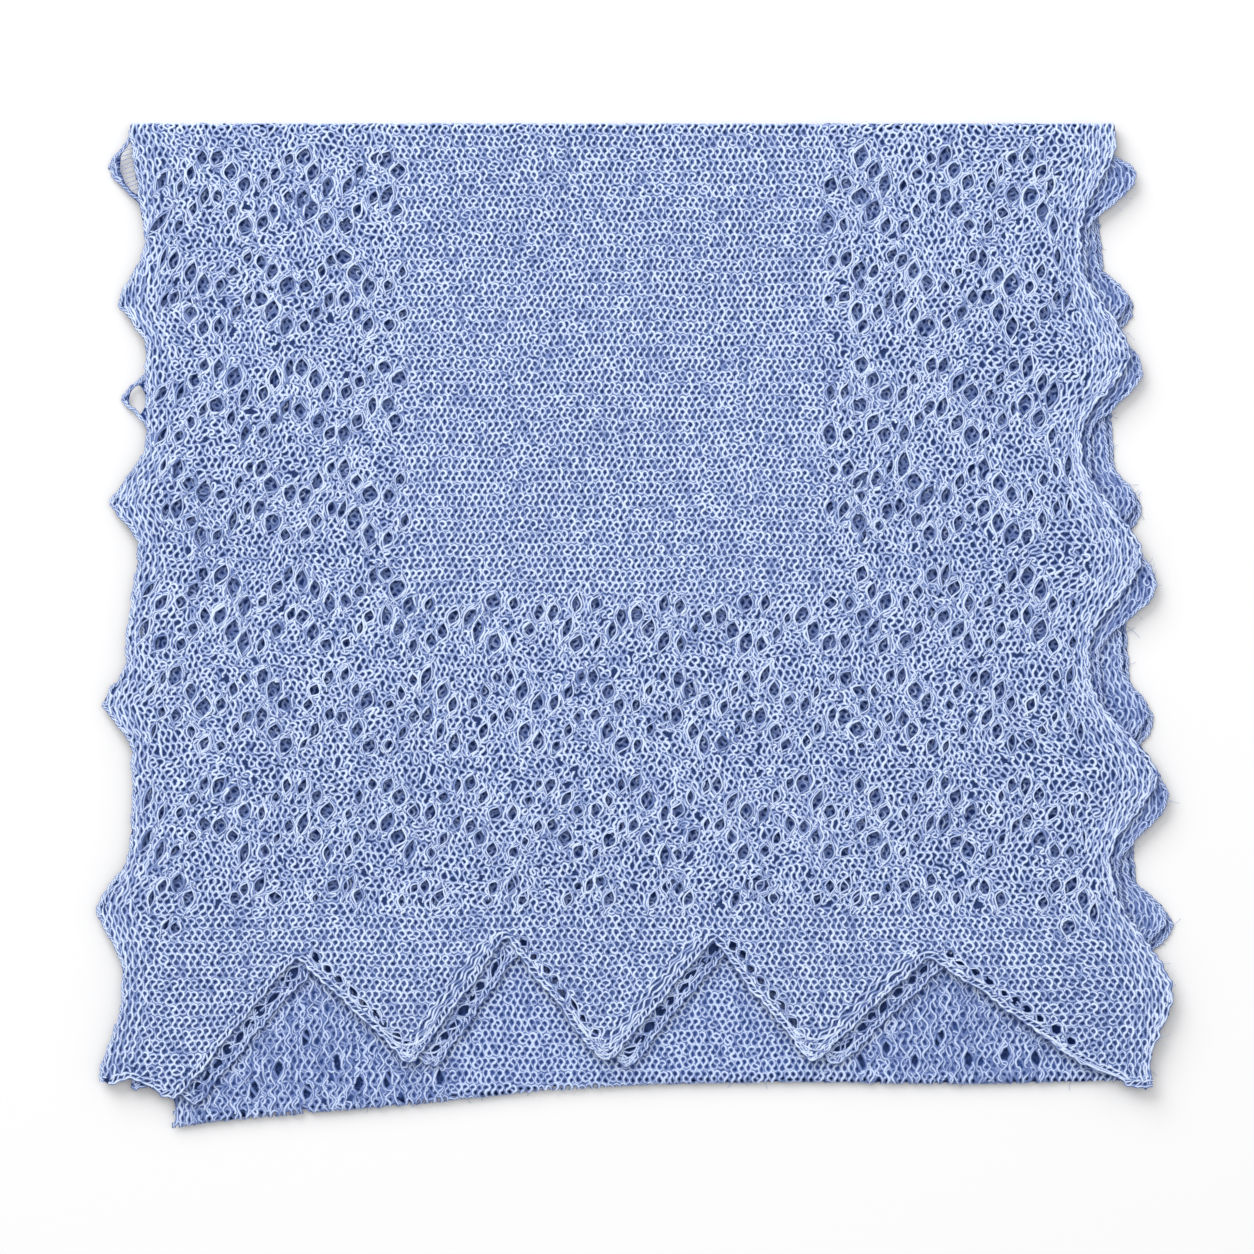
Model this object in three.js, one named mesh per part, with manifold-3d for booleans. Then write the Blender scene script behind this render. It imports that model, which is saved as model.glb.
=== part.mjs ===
// Lace scarf knitted in fine wool, folded crosswise into a flat stack.
// The scarf is folded in half end to end, and that double length is folded in half again, so four
// layers lie on each other: the two ends with their toothed edging on top, and the folded middle
// of the scarf below, which shows under the teeth.
// Millimetres, +Z up, origin at the middle of the footprint on the surface that the stack lies on.
import * as THREE from 'three';
import { mergeVertices } from 'three/addons/utils/BufferGeometryUtils.js';
import Module from 'manifold-3d';

const CLOTH = 1.5; // one layer of the knitted cloth, yarn loft included
const AIR = 0.3; // between layers that lie on each other
const LAYER = CLOTH + AIR;
const TOP_FOLD_Y = 198.2; // where the upper layers start to turn down at the far edge
const TURN_SHARE = 0.95; // how much of the half turn the upper layers make before they meet the lower ones
const SWELL = 1.0; // height of the soft rises in the top layer
const SWELL_LENGTH = { x: 150, y: 118 }; // from one rise to the next
const SWELL_SKEW = { x: 0.35, y: 0.2 }; // the rises drift aside as they follow each other
const SWELL_PHASE = { x: 0.8, y: 0.4 };
const SWELL_FADE = { sideFrom: 200, side: 50, farAndNear: 40, nearFrom: -185 }; // flat again at the edges
const TIP_SAG = 2.4; // how far a point of the edging that overhangs hangs down
const SAG_OVER = { top: 11, second: 13 }; // how far out from the edge's line a point hangs fully
const SAG_FADE = 20; // below the far fold, where the edge can't hang yet
const EDGE_STEP = 6.5; // spacing of points along a side edge
const LONGEST_EDGE = 10.5; // spacing of points along any other edge
const INNER_STEP = 21; // spacing of points inside a layer
const INNER_ROW = 0.87 * INNER_STEP; // between rows of those points, for near-equal triangles
const INNER_FIELD = { left: -212, right: 214, near: -196, far: TOP_FOLD_Y - 3 };
const INNER_CLEARANCE = 5.5; // kept between those points and any edge or eyelet
const TURN_ROWS = 5; // facets of an upper layer round the far fold
const ROOT_INSET = 1.5; // how far behind the edge's line a sagging point is still flat
const UNEVEN = 0.002; // moves each point aside, so that no four lie on one circle
const OUTER_CORNER = 4e5; // of the first triangle, far outside any pattern
const COLOUR = { top: 0x8ea6de, under: 0x7f98d4, middle: 0x6f89c8 };

const lerp = (a, b, t) => a + (b - a) * t;
const clamp01 = (t) => Math.min(1, Math.max(0, t));
const smooth = (t) => clamp01(t) ** 2 * (3 - 2 * clamp01(t));
const layerHeight = (layer) => CLOTH / 2 + layer * LAYER;

// Reads a table of rows that run in falling or rising order of one column
function between(rows, from, to, value) {
  const rising = rows[rows.length - 1][from] > rows[0][from];
  let k = rows.findIndex((row) => (rising ? row[from] > value : row[from] < value));
  if (k < 0) k = rows.length - 1;
  k = Math.max(1, k);
  const t = clamp01((value - rows[k - 1][from]) / (rows[k][from] - rows[k - 1][from]));
  return lerp(rows[k - 1][to], rows[k][to], t);
}

// A side edge is a line, and the points of the edging that stand out from it.
// Each point swells over a distance above it and another below it.
function edgeX(edge, y) {
  let x = between(edge.line, 'y', 'x', y);
  for (const point of edge.points) {
    const span = y > point.y ? point.above : point.below;
    const t = clamp01(Math.abs(y - point.y) / span);
    x += edge.side * point.reach * Math.cos((t * Math.PI) / 2) ** 2;
  }
  return x;
}

const TOP_LEFT = {
  side: -1,
  line: [
    { y: 198, x: -202 },
    { y: 176, x: -198.5 },
    { y: 152, x: -195.2 },
    { y: 74, x: -195.2 },
    { y: 22, x: -199 },
    { y: -6, x: -203.2 },
    { y: -64, x: -200.2 },
    { y: -145, x: -204.6 },
    { y: -184, x: -206.2 },
  ],
  points: [
    { y: 129.6, reach: 11.2, above: 25.6, below: 18.4 },
    { y: 49.2, reach: 13.0, above: 23.2, below: 17.0 },
    { y: -31.6, reach: 11.2, above: 18.0, below: 18.0 },
    { y: -113.2, reach: 12.8, above: 24.0, below: 27.0 },
    { y: -180.4, reach: 8.2, above: 32.0, below: 20.0 },
  ],
};
const TOP_RIGHT = {
  side: 1,
  line: [
    { y: 198, x: 178.8 },
    { y: 74, x: 179.2 },
    { y: -15.6, x: 182.4 },
    { y: -97.6, x: 191.2 },
    { y: -184.4, x: 207.6 },
  ],
  points: [
    { y: 194, reach: 14.0, above: 60.0, below: 36.0 },
    { y: 108.4, reach: 19.4, above: 40.0, below: 32.0 },
    { y: 28.4, reach: 22.6, above: 40.0, below: 38.0 },
    { y: -59.6, reach: 22.2, above: 38.0, below: 35.0 },
    { y: -145.2, reach: 15.4, above: 42.0, below: 34.0 },
  ],
};
const SECOND_LEFT = {
  side: -1,
  line: [
    { y: 198, x: -200 },
    { y: 150, x: -192.5 },
    { y: 74, x: -192.5 },
    { y: -184, x: -190 },
  ],
  points: [
    { y: 183.6, reach: 13.2, above: 16.0, below: 22.0 },
    { y: 90.8, reach: 12.6, above: 16.0, below: 15.0 },
    { y: 9.0, reach: 5.0, above: 18.0, below: 16.0 },
    { y: -73.0, reach: 7.0, above: 18.0, below: 16.0 },
  ],
};
const SECOND_RIGHT = {
  side: 1,
  line: [
    { y: 198, x: 180.4 },
    { y: 78, x: 182.4 },
    { y: -15.6, x: 186.0 },
    { y: -97.6, x: 194.0 },
    { y: -184.4, x: 205.0 },
  ],
  points: [
    { y: 180.4, reach: 20.4, above: 17.0, below: 24.0 },
    { y: 102.4, reach: 21.4, above: 30.0, below: 28.0 },
    { y: 17.2, reach: 24.4, above: 34.0, below: 30.0 },
    { y: -67.6, reach: 22.6, above: 34.0, below: 30.0 },
    { y: -152.0, reach: 10.0, above: 34.0, below: 30.0 },
  ],
};
const MIDDLE_LEFT = {
  side: -1,
  line: [
    { y: 198, x: -196 },
    { y: 60, x: -189 },
    { y: -100, x: -187 },
    { y: -202, x: -186 },
  ],
  points: [
    { y: 60, reach: 3.0, above: 18.0, below: 18.0 },
    { y: -20, reach: 5.0, above: 18.0, below: 18.0 },
    { y: -102, reach: 6.0, above: 18.0, below: 18.0 },
  ],
};
const MIDDLE_RIGHT = {
  side: 1,
  line: [
    { y: 198, x: 182.0 },
    { y: 148, x: 187.6 },
    { y: 74, x: 191.6 },
    { y: -12, x: 197.8 },
    { y: -94, x: 200.0 },
    { y: -184.4, x: 206.4 },
  ],
  points: [
    { y: 128.0, reach: 11.4, above: 15.0, below: 18.0 },
    { y: 47.6, reach: 9.6, above: 17.0, below: 18.0 },
    { y: -37.6, reach: 9.6, above: 18.0, below: 18.0 },
    { y: -119.6, reach: 14.0, above: 18.0, below: 18.0 },
  ],
};
// The third layer's edge lies this much further in than the lowest layer's, and a little higher up
const THIRD_INSET = { x: 2.4, y: 3.2 };

// The toothed end: each row is a corner of the edging, with how far it is rounded.
const TEETH = [
  { x: -209.4, y: -184.6, round: 1.5 },
  { x: -201.6, y: -181.6, round: 1.5 },
  { x: -194.4, y: -184.2, round: 1.5 },
  { x: -184.6, y: -190.8, round: 3.0 },
  { x: -134.8, y: -131.8, round: 1.5 },
  { x: -89.2, y: -176.6, round: 5.0 },
  { x: -51.6, y: -125.0, round: 1.5 },
  { x: -11.6, y: -176.6, round: 5.0 },
  { x: 31.6, y: -125.0, round: 1.5 },
  { x: 71.2, y: -176.2, round: 5.0 },
  { x: 118.0, y: -131.8, round: 1.5 },
  { x: 178.0, y: -174.2, round: 8.0 },
  { x: 200.4, y: -184.0, round: 2.0 },
];
// The second end lies under the first one, shifted so that its edging shows along the rising flanks
const SECOND_SHIFT = { x: 8.8, y: -1.6 };

// The fold at the near edge runs a little askew
const NEAR_FOLD = [
  { x: -183.0, y: -201.6 },
  { x: -169.6, y: -199.2 },
  { x: -130.0, y: -195.6 },
  { x: -90.4, y: -192.4 },
  { x: -36.8, y: -186.8 },
  { x: 8.0, y: -184.2 },
  { x: 66.4, y: -183.2 },
  { x: 130.8, y: -184.0 },
  { x: 206.0, y: -182.6 },
];
const NEAR_FOLD_SIDES = 12;

// The lace: zigzag lines of eyelets in mirrored pairs, which leave diamonds between them.
const LACE = {
  period: 33.4, // from one peak of a zigzag line to the next
  repeat: 83.6, // after which the four lines start again
  peakY: -60.8,
  peakX: { left: -35.2, right: 121.2 },
  rightFrom: 90, // the lace right of this has its own count
  repeats: { first: -4, last: 2 },
  columns: 8, // counted each way from a zone's own peak
  stepX: 5.2,
  slope: 1.05,
  eyeletHalf: { x: 2.2, y: 3.0 },
};
// Each row is a zigzag line: how far its peaks lie below the repeat's start, and aside,
// and which eyelets of a falling run are large enough to be cut through
const LACE_LINES = [
  { below: 0, aside: 0, cut: [0, 1, 2] },
  { below: 16, aside: 0, cut: [1] },
  { below: 40.4, aside: 0.5, cut: [1] },
  { below: 56.4, aside: 0.5, cut: [0, 1, 2] },
];
// Eyelets in the edging of the second end, as shares of each rising flank of its teeth
const FLANK_EYELETS = { shares: [0.14, 0.34, 0.54, 0.74], inset: 3.7, half: { x: 2.1, y: 2.6 } };
// Open loops in the points of the second end's edging that stand out at the left
const TIP_LOOPS = [
  { x: -205.6, y: 182.0, half: { x: 2.1, y: 6.0 } },
  { x: -199.4, y: 90.0, half: { x: 2.1, y: 3.4 } },
];
// Eyelets of the third layer that show between the teeth and the near fold
const STRIP_EYELETS = [
  { x: -152, y: -186 },
  { x: -142, y: -178 },
  { x: -131, y: -187 },
  { x: -131, y: -166 },
  { x: -119, y: -175 },
  { x: -110, y: -184 },
  { x: -99, y: -182 },
  { x: -79, y: -181 },
  { x: 90, y: -174 },
  { x: 101, y: -168 },
  { x: 112, y: -174 },
  { x: 123, y: -165 },
  { x: 134, y: -174 },
  { x: 148, y: -172 },
  { x: 161, y: -173.5 },
];
const STRIP_EYELET_HALF = { x: 2.2, y: 3.2 };
const THIRD_SWELL = 0.35; // share of the top layer's swell
const FILLING_INSET = 9; // how far the filling stays behind the two edges that it joins
const FILLING_NARROWED = 0.95;
const PLAIN_CENTRE = { left: -92, right: 76, bottom: 10 }; // plain knitting, with no lace
const LACE_MARGIN = { left: 15, right: 11, top: 9, bottom: 7 }; // plain along the edges
const LACE_END_Y = -121; // the lace stops above the teeth

// The corners where the two ends' near edges meet their right sides
const TOP_CORNER = { x: 207.6, y: -184.4 };
const SECOND_CORNER = { x: 205.0, y: -185.4 };
const CORNER_CLEARANCE = 3; // from that corner to the last corner of the teeth
const BEFORE_TEETH = { x: -5, y: 4 }; // from the first corner of the teeth back up the left side
const RISING_FLANKS = [3, 5, 7, 9]; // the rows of TEETH that a rising flank starts from
const BELOW_ALL_Y = -300;

const swell = (x, y) => {
  const across = (2 * Math.PI * (x + SWELL_SKEW.x * y)) / SWELL_LENGTH.x + SWELL_PHASE.x;
  const along = (2 * Math.PI * (y - SWELL_SKEW.y * x)) / SWELL_LENGTH.y + SWELL_PHASE.y;
  const rise = 0.5 + 0.5 * Math.sin(across) * Math.cos(along);
  const sides = smooth((SWELL_FADE.sideFrom - Math.abs(x)) / SWELL_FADE.side);
  const far = smooth((TOP_FOLD_Y - y) / SWELL_FADE.farAndNear);
  const near = smooth((y - SWELL_FADE.nearFrom) / SWELL_FADE.farAndNear);
  return SWELL * rise * sides * far * near;
};

// Rounds each corner of a polyline with a short arc of three points
function roundCorners(corners, first, last) {
  const all = [first, ...corners, last];
  return corners.flatMap((corner, k) => {
    const toward = (other) => {
      const d = Math.hypot(other.x - corner.x, other.y - corner.y);
      const t = Math.min(0.45, corner.round / d);
      return { x: lerp(corner.x, other.x, t), y: lerp(corner.y, other.y, t) };
    };
    const a = toward(all[k]);
    const b = toward(all[k + 2]);
    const middle = { x: (a.x + b.x + 2 * corner.x) / 4, y: (a.y + b.y + 2 * corner.y) / 4 };
    return [a, middle, b];
  });
}

// Splits the long stretches of a line so that no piece is longer than the given step
function subdivide(line, step) {
  return line.flatMap((p, k) => {
    if (k === line.length - 1) return [p];
    const q = line[k + 1];
    const n = Math.ceil(Math.hypot(q.x - p.x, q.y - p.y) / step);
    return Array.from({ length: n }, (_, i) => ({ x: lerp(p.x, q.x, i / n), y: lerp(p.y, q.y, i / n) }));
  });
}

// Counter-clockwise outline: along the near edge, up the right side, along the far edge, down the left
function panelOutline({ left, right, near, farY, step = EDGE_STEP }) {
  const up = [];
  const sideTop = Math.min(farY, TOP_FOLD_Y);
  const start = near[near.length - 1].y;
  const rows = Math.round((sideTop - start) / step);
  for (let k = 1; k <= rows; k += 1) {
    const y = lerp(start, sideTop, k / rows);
    up.push({ x: edgeX(right, y), y });
  }
  const down = [];
  const end = near[0].y;
  for (let k = 0; k < rows; k += 1) {
    const y = lerp(sideTop, end, k / rows);
    down.push({ x: edgeX(left, y), y });
  }
  const far = [];
  if (farY > sideTop) {
    const turned = (x) => Array.from({ length: TURN_ROWS - 1 }, (_, k) => ({
      x,
      y: lerp(sideTop, farY, (k + 1) / TURN_ROWS),
    }));
    const edge = [{ x: up[rows - 1].x, y: farY }, { x: down[0].x, y: farY }];
    far.push(...turned(edge[0].x));
    far.push(...subdivide(edge, INNER_STEP));
    far.push(...turned(edge[1].x).reverse());
  } else {
    far.push(...subdivide([up[rows - 1], down[0]], INNER_STEP).slice(1, -1));
  }
  const close = subdivide([down[rows - 1], near[0]], LONGEST_EDGE).slice(1, -1);
  return [...subdivide([...near, ...up], LONGEST_EDGE), ...far, ...down, ...close];
}

const eyelet = (x, y, half = LACE.eyeletHalf) => Array.from({ length: 6 }, (_, k) => ({
  x: x + half.x * Math.sin((k * Math.PI) / 3),
  y: y + half.y * Math.cos((k * Math.PI) / 3),
}));

// Distance from a point to a closed outline
function distanceTo(outline, p) {
  return Math.min(...outline.map((a, k) => {
    const b = outline[(k + 1) % outline.length];
    const t = clamp01(((p.x - a.x) * (b.x - a.x) + (p.y - a.y) * (b.y - a.y))
      / ((b.x - a.x) ** 2 + (b.y - a.y) ** 2));
    return Math.hypot(p.x - lerp(a.x, b.x, t), p.y - lerp(a.y, b.y, t));
  }));
}

function isInside(outline, p) {
  return outline.reduce((inside, a, k) => {
    const b = outline[(k + 1) % outline.length];
    const crosses = (a.y > p.y) !== (b.y > p.y) && p.x < lerp(a.x, b.x, (p.y - a.y) / (b.y - a.y));
    return crosses ? !inside : inside;
  }, false);
}

// Triangles over a set of points, by adding the points one at a time
function triangulate(points) {
  const far = OUTER_CORNER;
  const all = [...points, { x: -far, y: -far }, { x: far, y: -far }, { x: 0, y: far }];
  const circle = (a, b, c) => {
    const [p, q, r] = [all[a], all[b], all[c]];
    const d = 2 * (p.x * (q.y - r.y) + q.x * (r.y - p.y) + r.x * (p.y - q.y));
    const [pp, qq, rr] = [p, q, r].map((v) => v.x * v.x + v.y * v.y);
    const x = (pp * (q.y - r.y) + qq * (r.y - p.y) + rr * (p.y - q.y)) / d;
    const y = (pp * (r.x - q.x) + qq * (p.x - r.x) + rr * (q.x - p.x)) / d;
    return { corners: [a, b, c], x, y, r2: (p.x - x) ** 2 + (p.y - y) ** 2 };
  };
  let triangles = [circle(points.length, points.length + 1, points.length + 2)];
  points.forEach((p, index) => {
    const rim = new Map();
    triangles = triangles.filter((t) => {
      if ((p.x - t.x) ** 2 + (p.y - t.y) ** 2 >= t.r2) return true;
      t.corners.forEach((a, k) => {
        const b = t.corners[(k + 1) % 3];
        if (!rim.delete(`${b},${a}`)) rim.set(`${a},${b}`, [a, b]);
      });
      return false;
    });
    for (const [a, b] of rim.values()) triangles.push(circle(a, b, index));
  });
  return triangles.map((t) => t.corners).filter((t) => t.every((v) => v < points.length));
}

// A closed wall of cloth: the pattern is cut flat, with its eyelets, and place() lays it in space.
// place() returns the middle of the wall and the way that its upper side faces.
function clothWall({ outline, eyelets = [], inner = [], turn = [], place, thickness = () => CLOTH }) {
  const loops = [outline, ...eyelets.map((e) => [...e].reverse())];
  if (THREE.ShapeUtils.area(outline) < 0) throw new Error('the outline runs the wrong way');
  const keep = inner.filter((p) => isInside(outline, p)
    && loops.every((loop) => distanceTo(loop, p) > INNER_CLEARANCE));
  const rims = loops.flat();
  const points = [...rims, ...keep, ...turn].map((p, k) => ({
    x: p.x + UNEVEN * Math.sin(13 * k),
    y: p.y + UNEVEN * Math.cos(13 * k),
  }));
  const middleOf = (list) => ({
    x: list.reduce((sum, p) => sum + p.x, 0) / list.length,
    y: list.reduce((sum, p) => sum + p.y, 0) / list.length,
  });
  const faces = triangulate(points).filter((t) => {
    const c = middleOf(t.map((v) => points[v]));
    return isInside(outline, c) && !eyelets.some((loop) => isInside(loop, c));
  });
  const position = [];
  for (const side of [1, -1]) {
    for (const p of points) {
      const { middle, up } = place(p.x, p.y);
      const half = (side * thickness(p.x, p.y)) / 2;
      position.push(middle.x + up.x * half, middle.y + up.y * half, middle.z + up.z * half);
    }
  }
  const n = points.length;
  const index = faces.flatMap(([a, b, c]) => [a, b, c, n + a, n + c, n + b]);
  const rimEdges = new Map();
  for (const t of faces) {
    t.forEach((a, k) => {
      const b = t[(k + 1) % 3];
      if (!rimEdges.delete(`${b},${a}`)) rimEdges.set(`${a},${b}`, [a, b]);
    });
  }
  if (rimEdges.size !== rims.length) throw new Error('an edge of the cloth is crossed by a triangle');
  for (const [a, b] of rimEdges.values()) index.push(a, n + a, n + b, a, n + b, b);
  const geometry = new THREE.BufferGeometry();
  geometry.setAttribute('position', new THREE.Float32BufferAttribute(position, 3));
  geometry.setIndex(index);
  return geometry;
}

function innerGrid() {
  const grid = [];
  for (let y = INNER_FIELD.near; y < INNER_FIELD.far; y += INNER_ROW) {
    const shift = (grid.length % 2) * 0.5 * INNER_STEP;
    for (let x = INNER_FIELD.left + shift; x < INNER_FIELD.right; x += INNER_STEP) grid.push({ x, y });
  }
  return grid;
}

// Points behind the root of each point of an edge, so that the layer bends there and not further in
const tipRoots = (edge) => edge.points.flatMap((point) => {
  const rows = [point.y + point.above / 2, point.y, point.y - point.below / 2];
  return rows.map((y) => ({ x: between(edge.line, 'y', 'x', y) - edge.side * ROOT_INSET, y }));
});

// Rows of points where a layer turns over the far fold
function turnPoints(left, right, length) {
  const columns = Math.ceil((right - left) / INNER_STEP);
  const points = [];
  for (let k = 0; k < TURN_ROWS; k += 1) {
    for (let i = 1; i < columns; i += 1) {
      points.push({ x: lerp(left, right, i / columns), y: TOP_FOLD_Y + (k * length) / TURN_ROWS });
    }
  }
  return points;
}

// An upper layer lies flat and turns down round the far fold
function upperLayer({ layer, partner, sag }) {
  const radius = (layerHeight(layer) - layerHeight(partner)) / 2;
  const centre = (layerHeight(layer) + layerHeight(partner)) / 2;
  const turn = TURN_SHARE * Math.PI * radius;
  const share = layer / 3;
  const place = (x, y) => {
    if (y <= TOP_FOLD_Y) {
      const z = layerHeight(layer) + share * swell(x, y) - sag(x, y);
      return { middle: new THREE.Vector3(x, y, z), up: new THREE.Vector3(0, 0, 1) };
    }
    const angle = (y - TOP_FOLD_Y) / radius;
    const up = new THREE.Vector3(0, Math.sin(angle), Math.cos(angle));
    return { middle: new THREE.Vector3(x, TOP_FOLD_Y, centre).addScaledVector(up, radius), up };
  };
  return { place, farY: TOP_FOLD_Y + turn, turn };
}

const sagLeft = (edge, fullAt) => (x, y) => {
  const past = between(edge.line, 'y', 'x', y) - x;
  return TIP_SAG * smooth(past / fullAt) * smooth((TOP_FOLD_Y - y) / SAG_FADE);
};

function laceEyelets() {
  const found = [];
  for (let row = LACE.repeats.first; row <= LACE.repeats.last; row += 1) {
    for (const line of LACE_LINES) {
      for (let column = -LACE.columns; column <= LACE.columns; column += 1) {
        for (const k of line.cut) {
          const aside = (k + 0.5) * LACE.stepX;
          const y = LACE.peakY - row * LACE.repeat - line.below - LACE.slope * aside;
          for (const zone of ['left', 'right']) {
            const x = LACE.peakX[zone] + (column + line.aside) * LACE.period + aside;
            if ((zone === 'right') === x > LACE.rightFrom) found.push({ x, y });
          }
        }
      }
    }
  }
  const inCentre = (p) => p.x > PLAIN_CENTRE.left && p.x < PLAIN_CENTRE.right && p.y > PLAIN_CENTRE.bottom;
  return found.filter((p) => !inCentre(p)
    && p.y > LACE_END_Y && p.y < TOP_FOLD_Y - LACE_MARGIN.top
    && p.x > between(TOP_LEFT.line, 'y', 'x', p.y) + LACE_MARGIN.left
    && p.x < between(TOP_RIGHT.line, 'y', 'x', p.y) - LACE_MARGIN.right);
}

// The near edge of an end: the teeth, then the corner where the right side starts
function toothedEdge(shift, corner) {
  const teeth = TEETH.map((t) => ({ ...t, x: t.x + shift.x, y: t.y + shift.y }))
    .filter((t) => t.x < corner.x - CORNER_CLEARANCE);
  const before = { x: teeth[0].x + BEFORE_TEETH.x, y: teeth[0].y + BEFORE_TEETH.y };
  return [...roundCorners(teeth, before, corner), corner];
}

function topEnd() {
  const layer = upperLayer({ layer: 3, partner: 0, sag: sagLeft(TOP_LEFT, SAG_OVER.top) });
  const near = toothedEdge({ x: 0, y: 0 }, TOP_CORNER);
  const outline = panelOutline({ left: TOP_LEFT, right: TOP_RIGHT, near, farY: layer.farY });
  const belowTeeth = [...near, { x: TOP_CORNER.x, y: BELOW_ALL_Y }, { x: TEETH[0].x, y: BELOW_ALL_Y }];
  const eyelets = laceEyelets()
    .filter((p) => distanceTo(belowTeeth, p) > LACE_MARGIN.bottom)
    .map((p) => eyelet(p.x, p.y));
  const inner = [...tipRoots(TOP_LEFT), ...innerGrid()];
  const turn = turnPoints(edgeX(TOP_LEFT, TOP_FOLD_Y), edgeX(TOP_RIGHT, TOP_FOLD_Y), layer.turn);
  return clothWall({ outline, eyelets, inner, turn, place: layer.place });
}

// Only the edging of the second end shows: along the rising flanks of the teeth, and at the sides
function secondEnd() {
  const layer = upperLayer({ layer: 2, partner: 1, sag: sagLeft(SECOND_LEFT, SAG_OVER.second) });
  const near = toothedEdge(SECOND_SHIFT, SECOND_CORNER);
  const outline = panelOutline({ left: SECOND_LEFT, right: SECOND_RIGHT, near, farY: layer.farY });
  const eyelets = [];
  for (const tip of RISING_FLANKS) {
    const from = TEETH[tip];
    const to = TEETH[tip + 1];
    const length = Math.hypot(to.x - from.x, to.y - from.y);
    const inward = { x: -(to.y - from.y) / length, y: (to.x - from.x) / length };
    for (const share of FLANK_EYELETS.shares) {
      eyelets.push(eyelet(
        lerp(from.x, to.x, share) + SECOND_SHIFT.x + inward.x * FLANK_EYELETS.inset,
        lerp(from.y, to.y, share) + SECOND_SHIFT.y + inward.y * FLANK_EYELETS.inset,
        FLANK_EYELETS.half,
      ));
    }
  }
  for (const loop of TIP_LOOPS) eyelets.push(eyelet(loop.x, loop.y, loop.half));
  const inner = [...tipRoots(SECOND_LEFT), ...innerGrid()];
  const turn = turnPoints(edgeX(SECOND_LEFT, TOP_FOLD_Y), edgeX(SECOND_RIGHT, TOP_FOLD_Y), layer.turn);
  return clothWall({ outline, eyelets, inner, turn, place: layer.place });
}

const shiftEdge = (edge, dx, dy) => ({
  side: edge.side,
  line: edge.line.map((row) => ({ y: row.y + dy, x: row.x - edge.side * dx })),
  points: edge.points.map((row) => ({ ...row, y: row.y + dy })),
});

// The folded middle of the scarf: the lowest layer and the third one, joined by the near fold.
// What lies between them is hidden, so it is solid, and their side edges show as two steps.
function foldedMiddle(wasm) {
  const radius = (2 * CLOTH + AIR) / 2;
  const foldAxis = NEAR_FOLD.map((p) => ({ x: p.x, y: p.y + radius }));
  const up = new THREE.Vector3(0, 0, 1);
  const panel = ({ inset, rise = 0, near = foldAxis, short = 0, low, high, inner, eyelets }) => {
    const left = shiftEdge(MIDDLE_LEFT, inset, rise);
    const right = shiftEdge(MIDDLE_RIGHT, inset, rise);
    return clothWall({
      outline: panelOutline({ left, right, near, farY: TOP_FOLD_Y - AIR - short }),
      eyelets,
      inner,
      place: (x, y) => ({ middle: new THREE.Vector3(x, y, (low(x, y) + high(x, y)) / 2), up }),
      thickness: (x, y) => high(x, y) - low(x, y),
    });
  };
  const thirdUnder = (x, y) => LAYER + THIRD_SWELL * swell(x, y);
  const lowest = panel({ inset: 0, low: () => 0, high: () => CLOTH });
  const third = panel({
    inset: THIRD_INSET.x,
    rise: THIRD_INSET.y,
    low: thirdUnder,
    high: (x, y) => thirdUnder(x, y) + CLOTH,
    inner: innerGrid(),
    eyelets: STRIP_EYELETS.map((p) => eyelet(p.x, p.y, STRIP_EYELET_HALF)),
  });
  const filling = panel({
    inset: FILLING_INSET,
    near: foldAxis.map((p) => ({ x: p.x * FILLING_NARROWED, y: p.y + radius / 3 })),
    short: FILLING_INSET,
    low: () => CLOTH / 2,
    high: (x, y) => thirdUnder(x, y) + CLOTH / 3,
    inner: innerGrid(),
  });
  const section = new THREE.Shape();
  section.absarc(0, 0, radius, 0, 2 * Math.PI);
  const path = new THREE.CatmullRomCurve3(foldAxis.map((p) => new THREE.Vector3(p.x, p.y, radius)));
  const fold = new THREE.ExtrudeGeometry(section, {
    curveSegments: NEAR_FOLD_SIDES,
    steps: 3 * NEAR_FOLD.length,
    bevelEnabled: false,
    extrudePath: path,
  });
  const pieces = [lowest, third, filling, fold].map((geometry) => toSolid(wasm, geometry));
  return pieces.reduce((whole, piece) => whole.add(piece));
}

function toSolid(wasm, geometry) {
  const bare = geometry.clone();
  bare.deleteAttribute('normal');
  bare.deleteAttribute('uv');
  const merged = mergeVertices(bare, 1e-4);
  return new wasm.Manifold(new wasm.Mesh({
    numProp: 3,
    vertProperties: new Float32Array(merged.attributes.position.array),
    triVerts: new Uint32Array(merged.index.array),
  }));
}

function fromSolid(solid) {
  const mesh = solid.getMesh();
  const geometry = new THREE.BufferGeometry();
  geometry.setAttribute('position', new THREE.BufferAttribute(mesh.vertProperties, 3));
  geometry.setIndex(new THREE.BufferAttribute(mesh.triVerts, 1));
  return geometry;
}

const knit = (name, geometry, colour) => {
  geometry.computeVertexNormals();
  const wool = new THREE.MeshStandardMaterial({ color: colour, roughness: 0.9, metalness: 0 });
  const mesh = new THREE.Mesh(geometry, wool);
  mesh.name = name;
  return mesh;
};

const wasm = await Module();
wasm.setup();

const scarf = new THREE.Group();
scarf.add(knit('top_end', topEnd(), COLOUR.top));
scarf.add(knit('second_end', secondEnd(), COLOUR.under));
scarf.add(knit('folded_middle', fromSolid(foldedMiddle(wasm)), COLOUR.middle));

export default scarf;
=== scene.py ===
"""A lace scarf knitted in fine wool, folded end to end and then in half again.

It lies flat, seen from straight above: the first end on top with its toothed edging, the second end
just under it, and the folded middle of the scarf below. Patterns are laid out in millimetres, +Z up.
"""

import math
from collections import namedtuple

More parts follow.
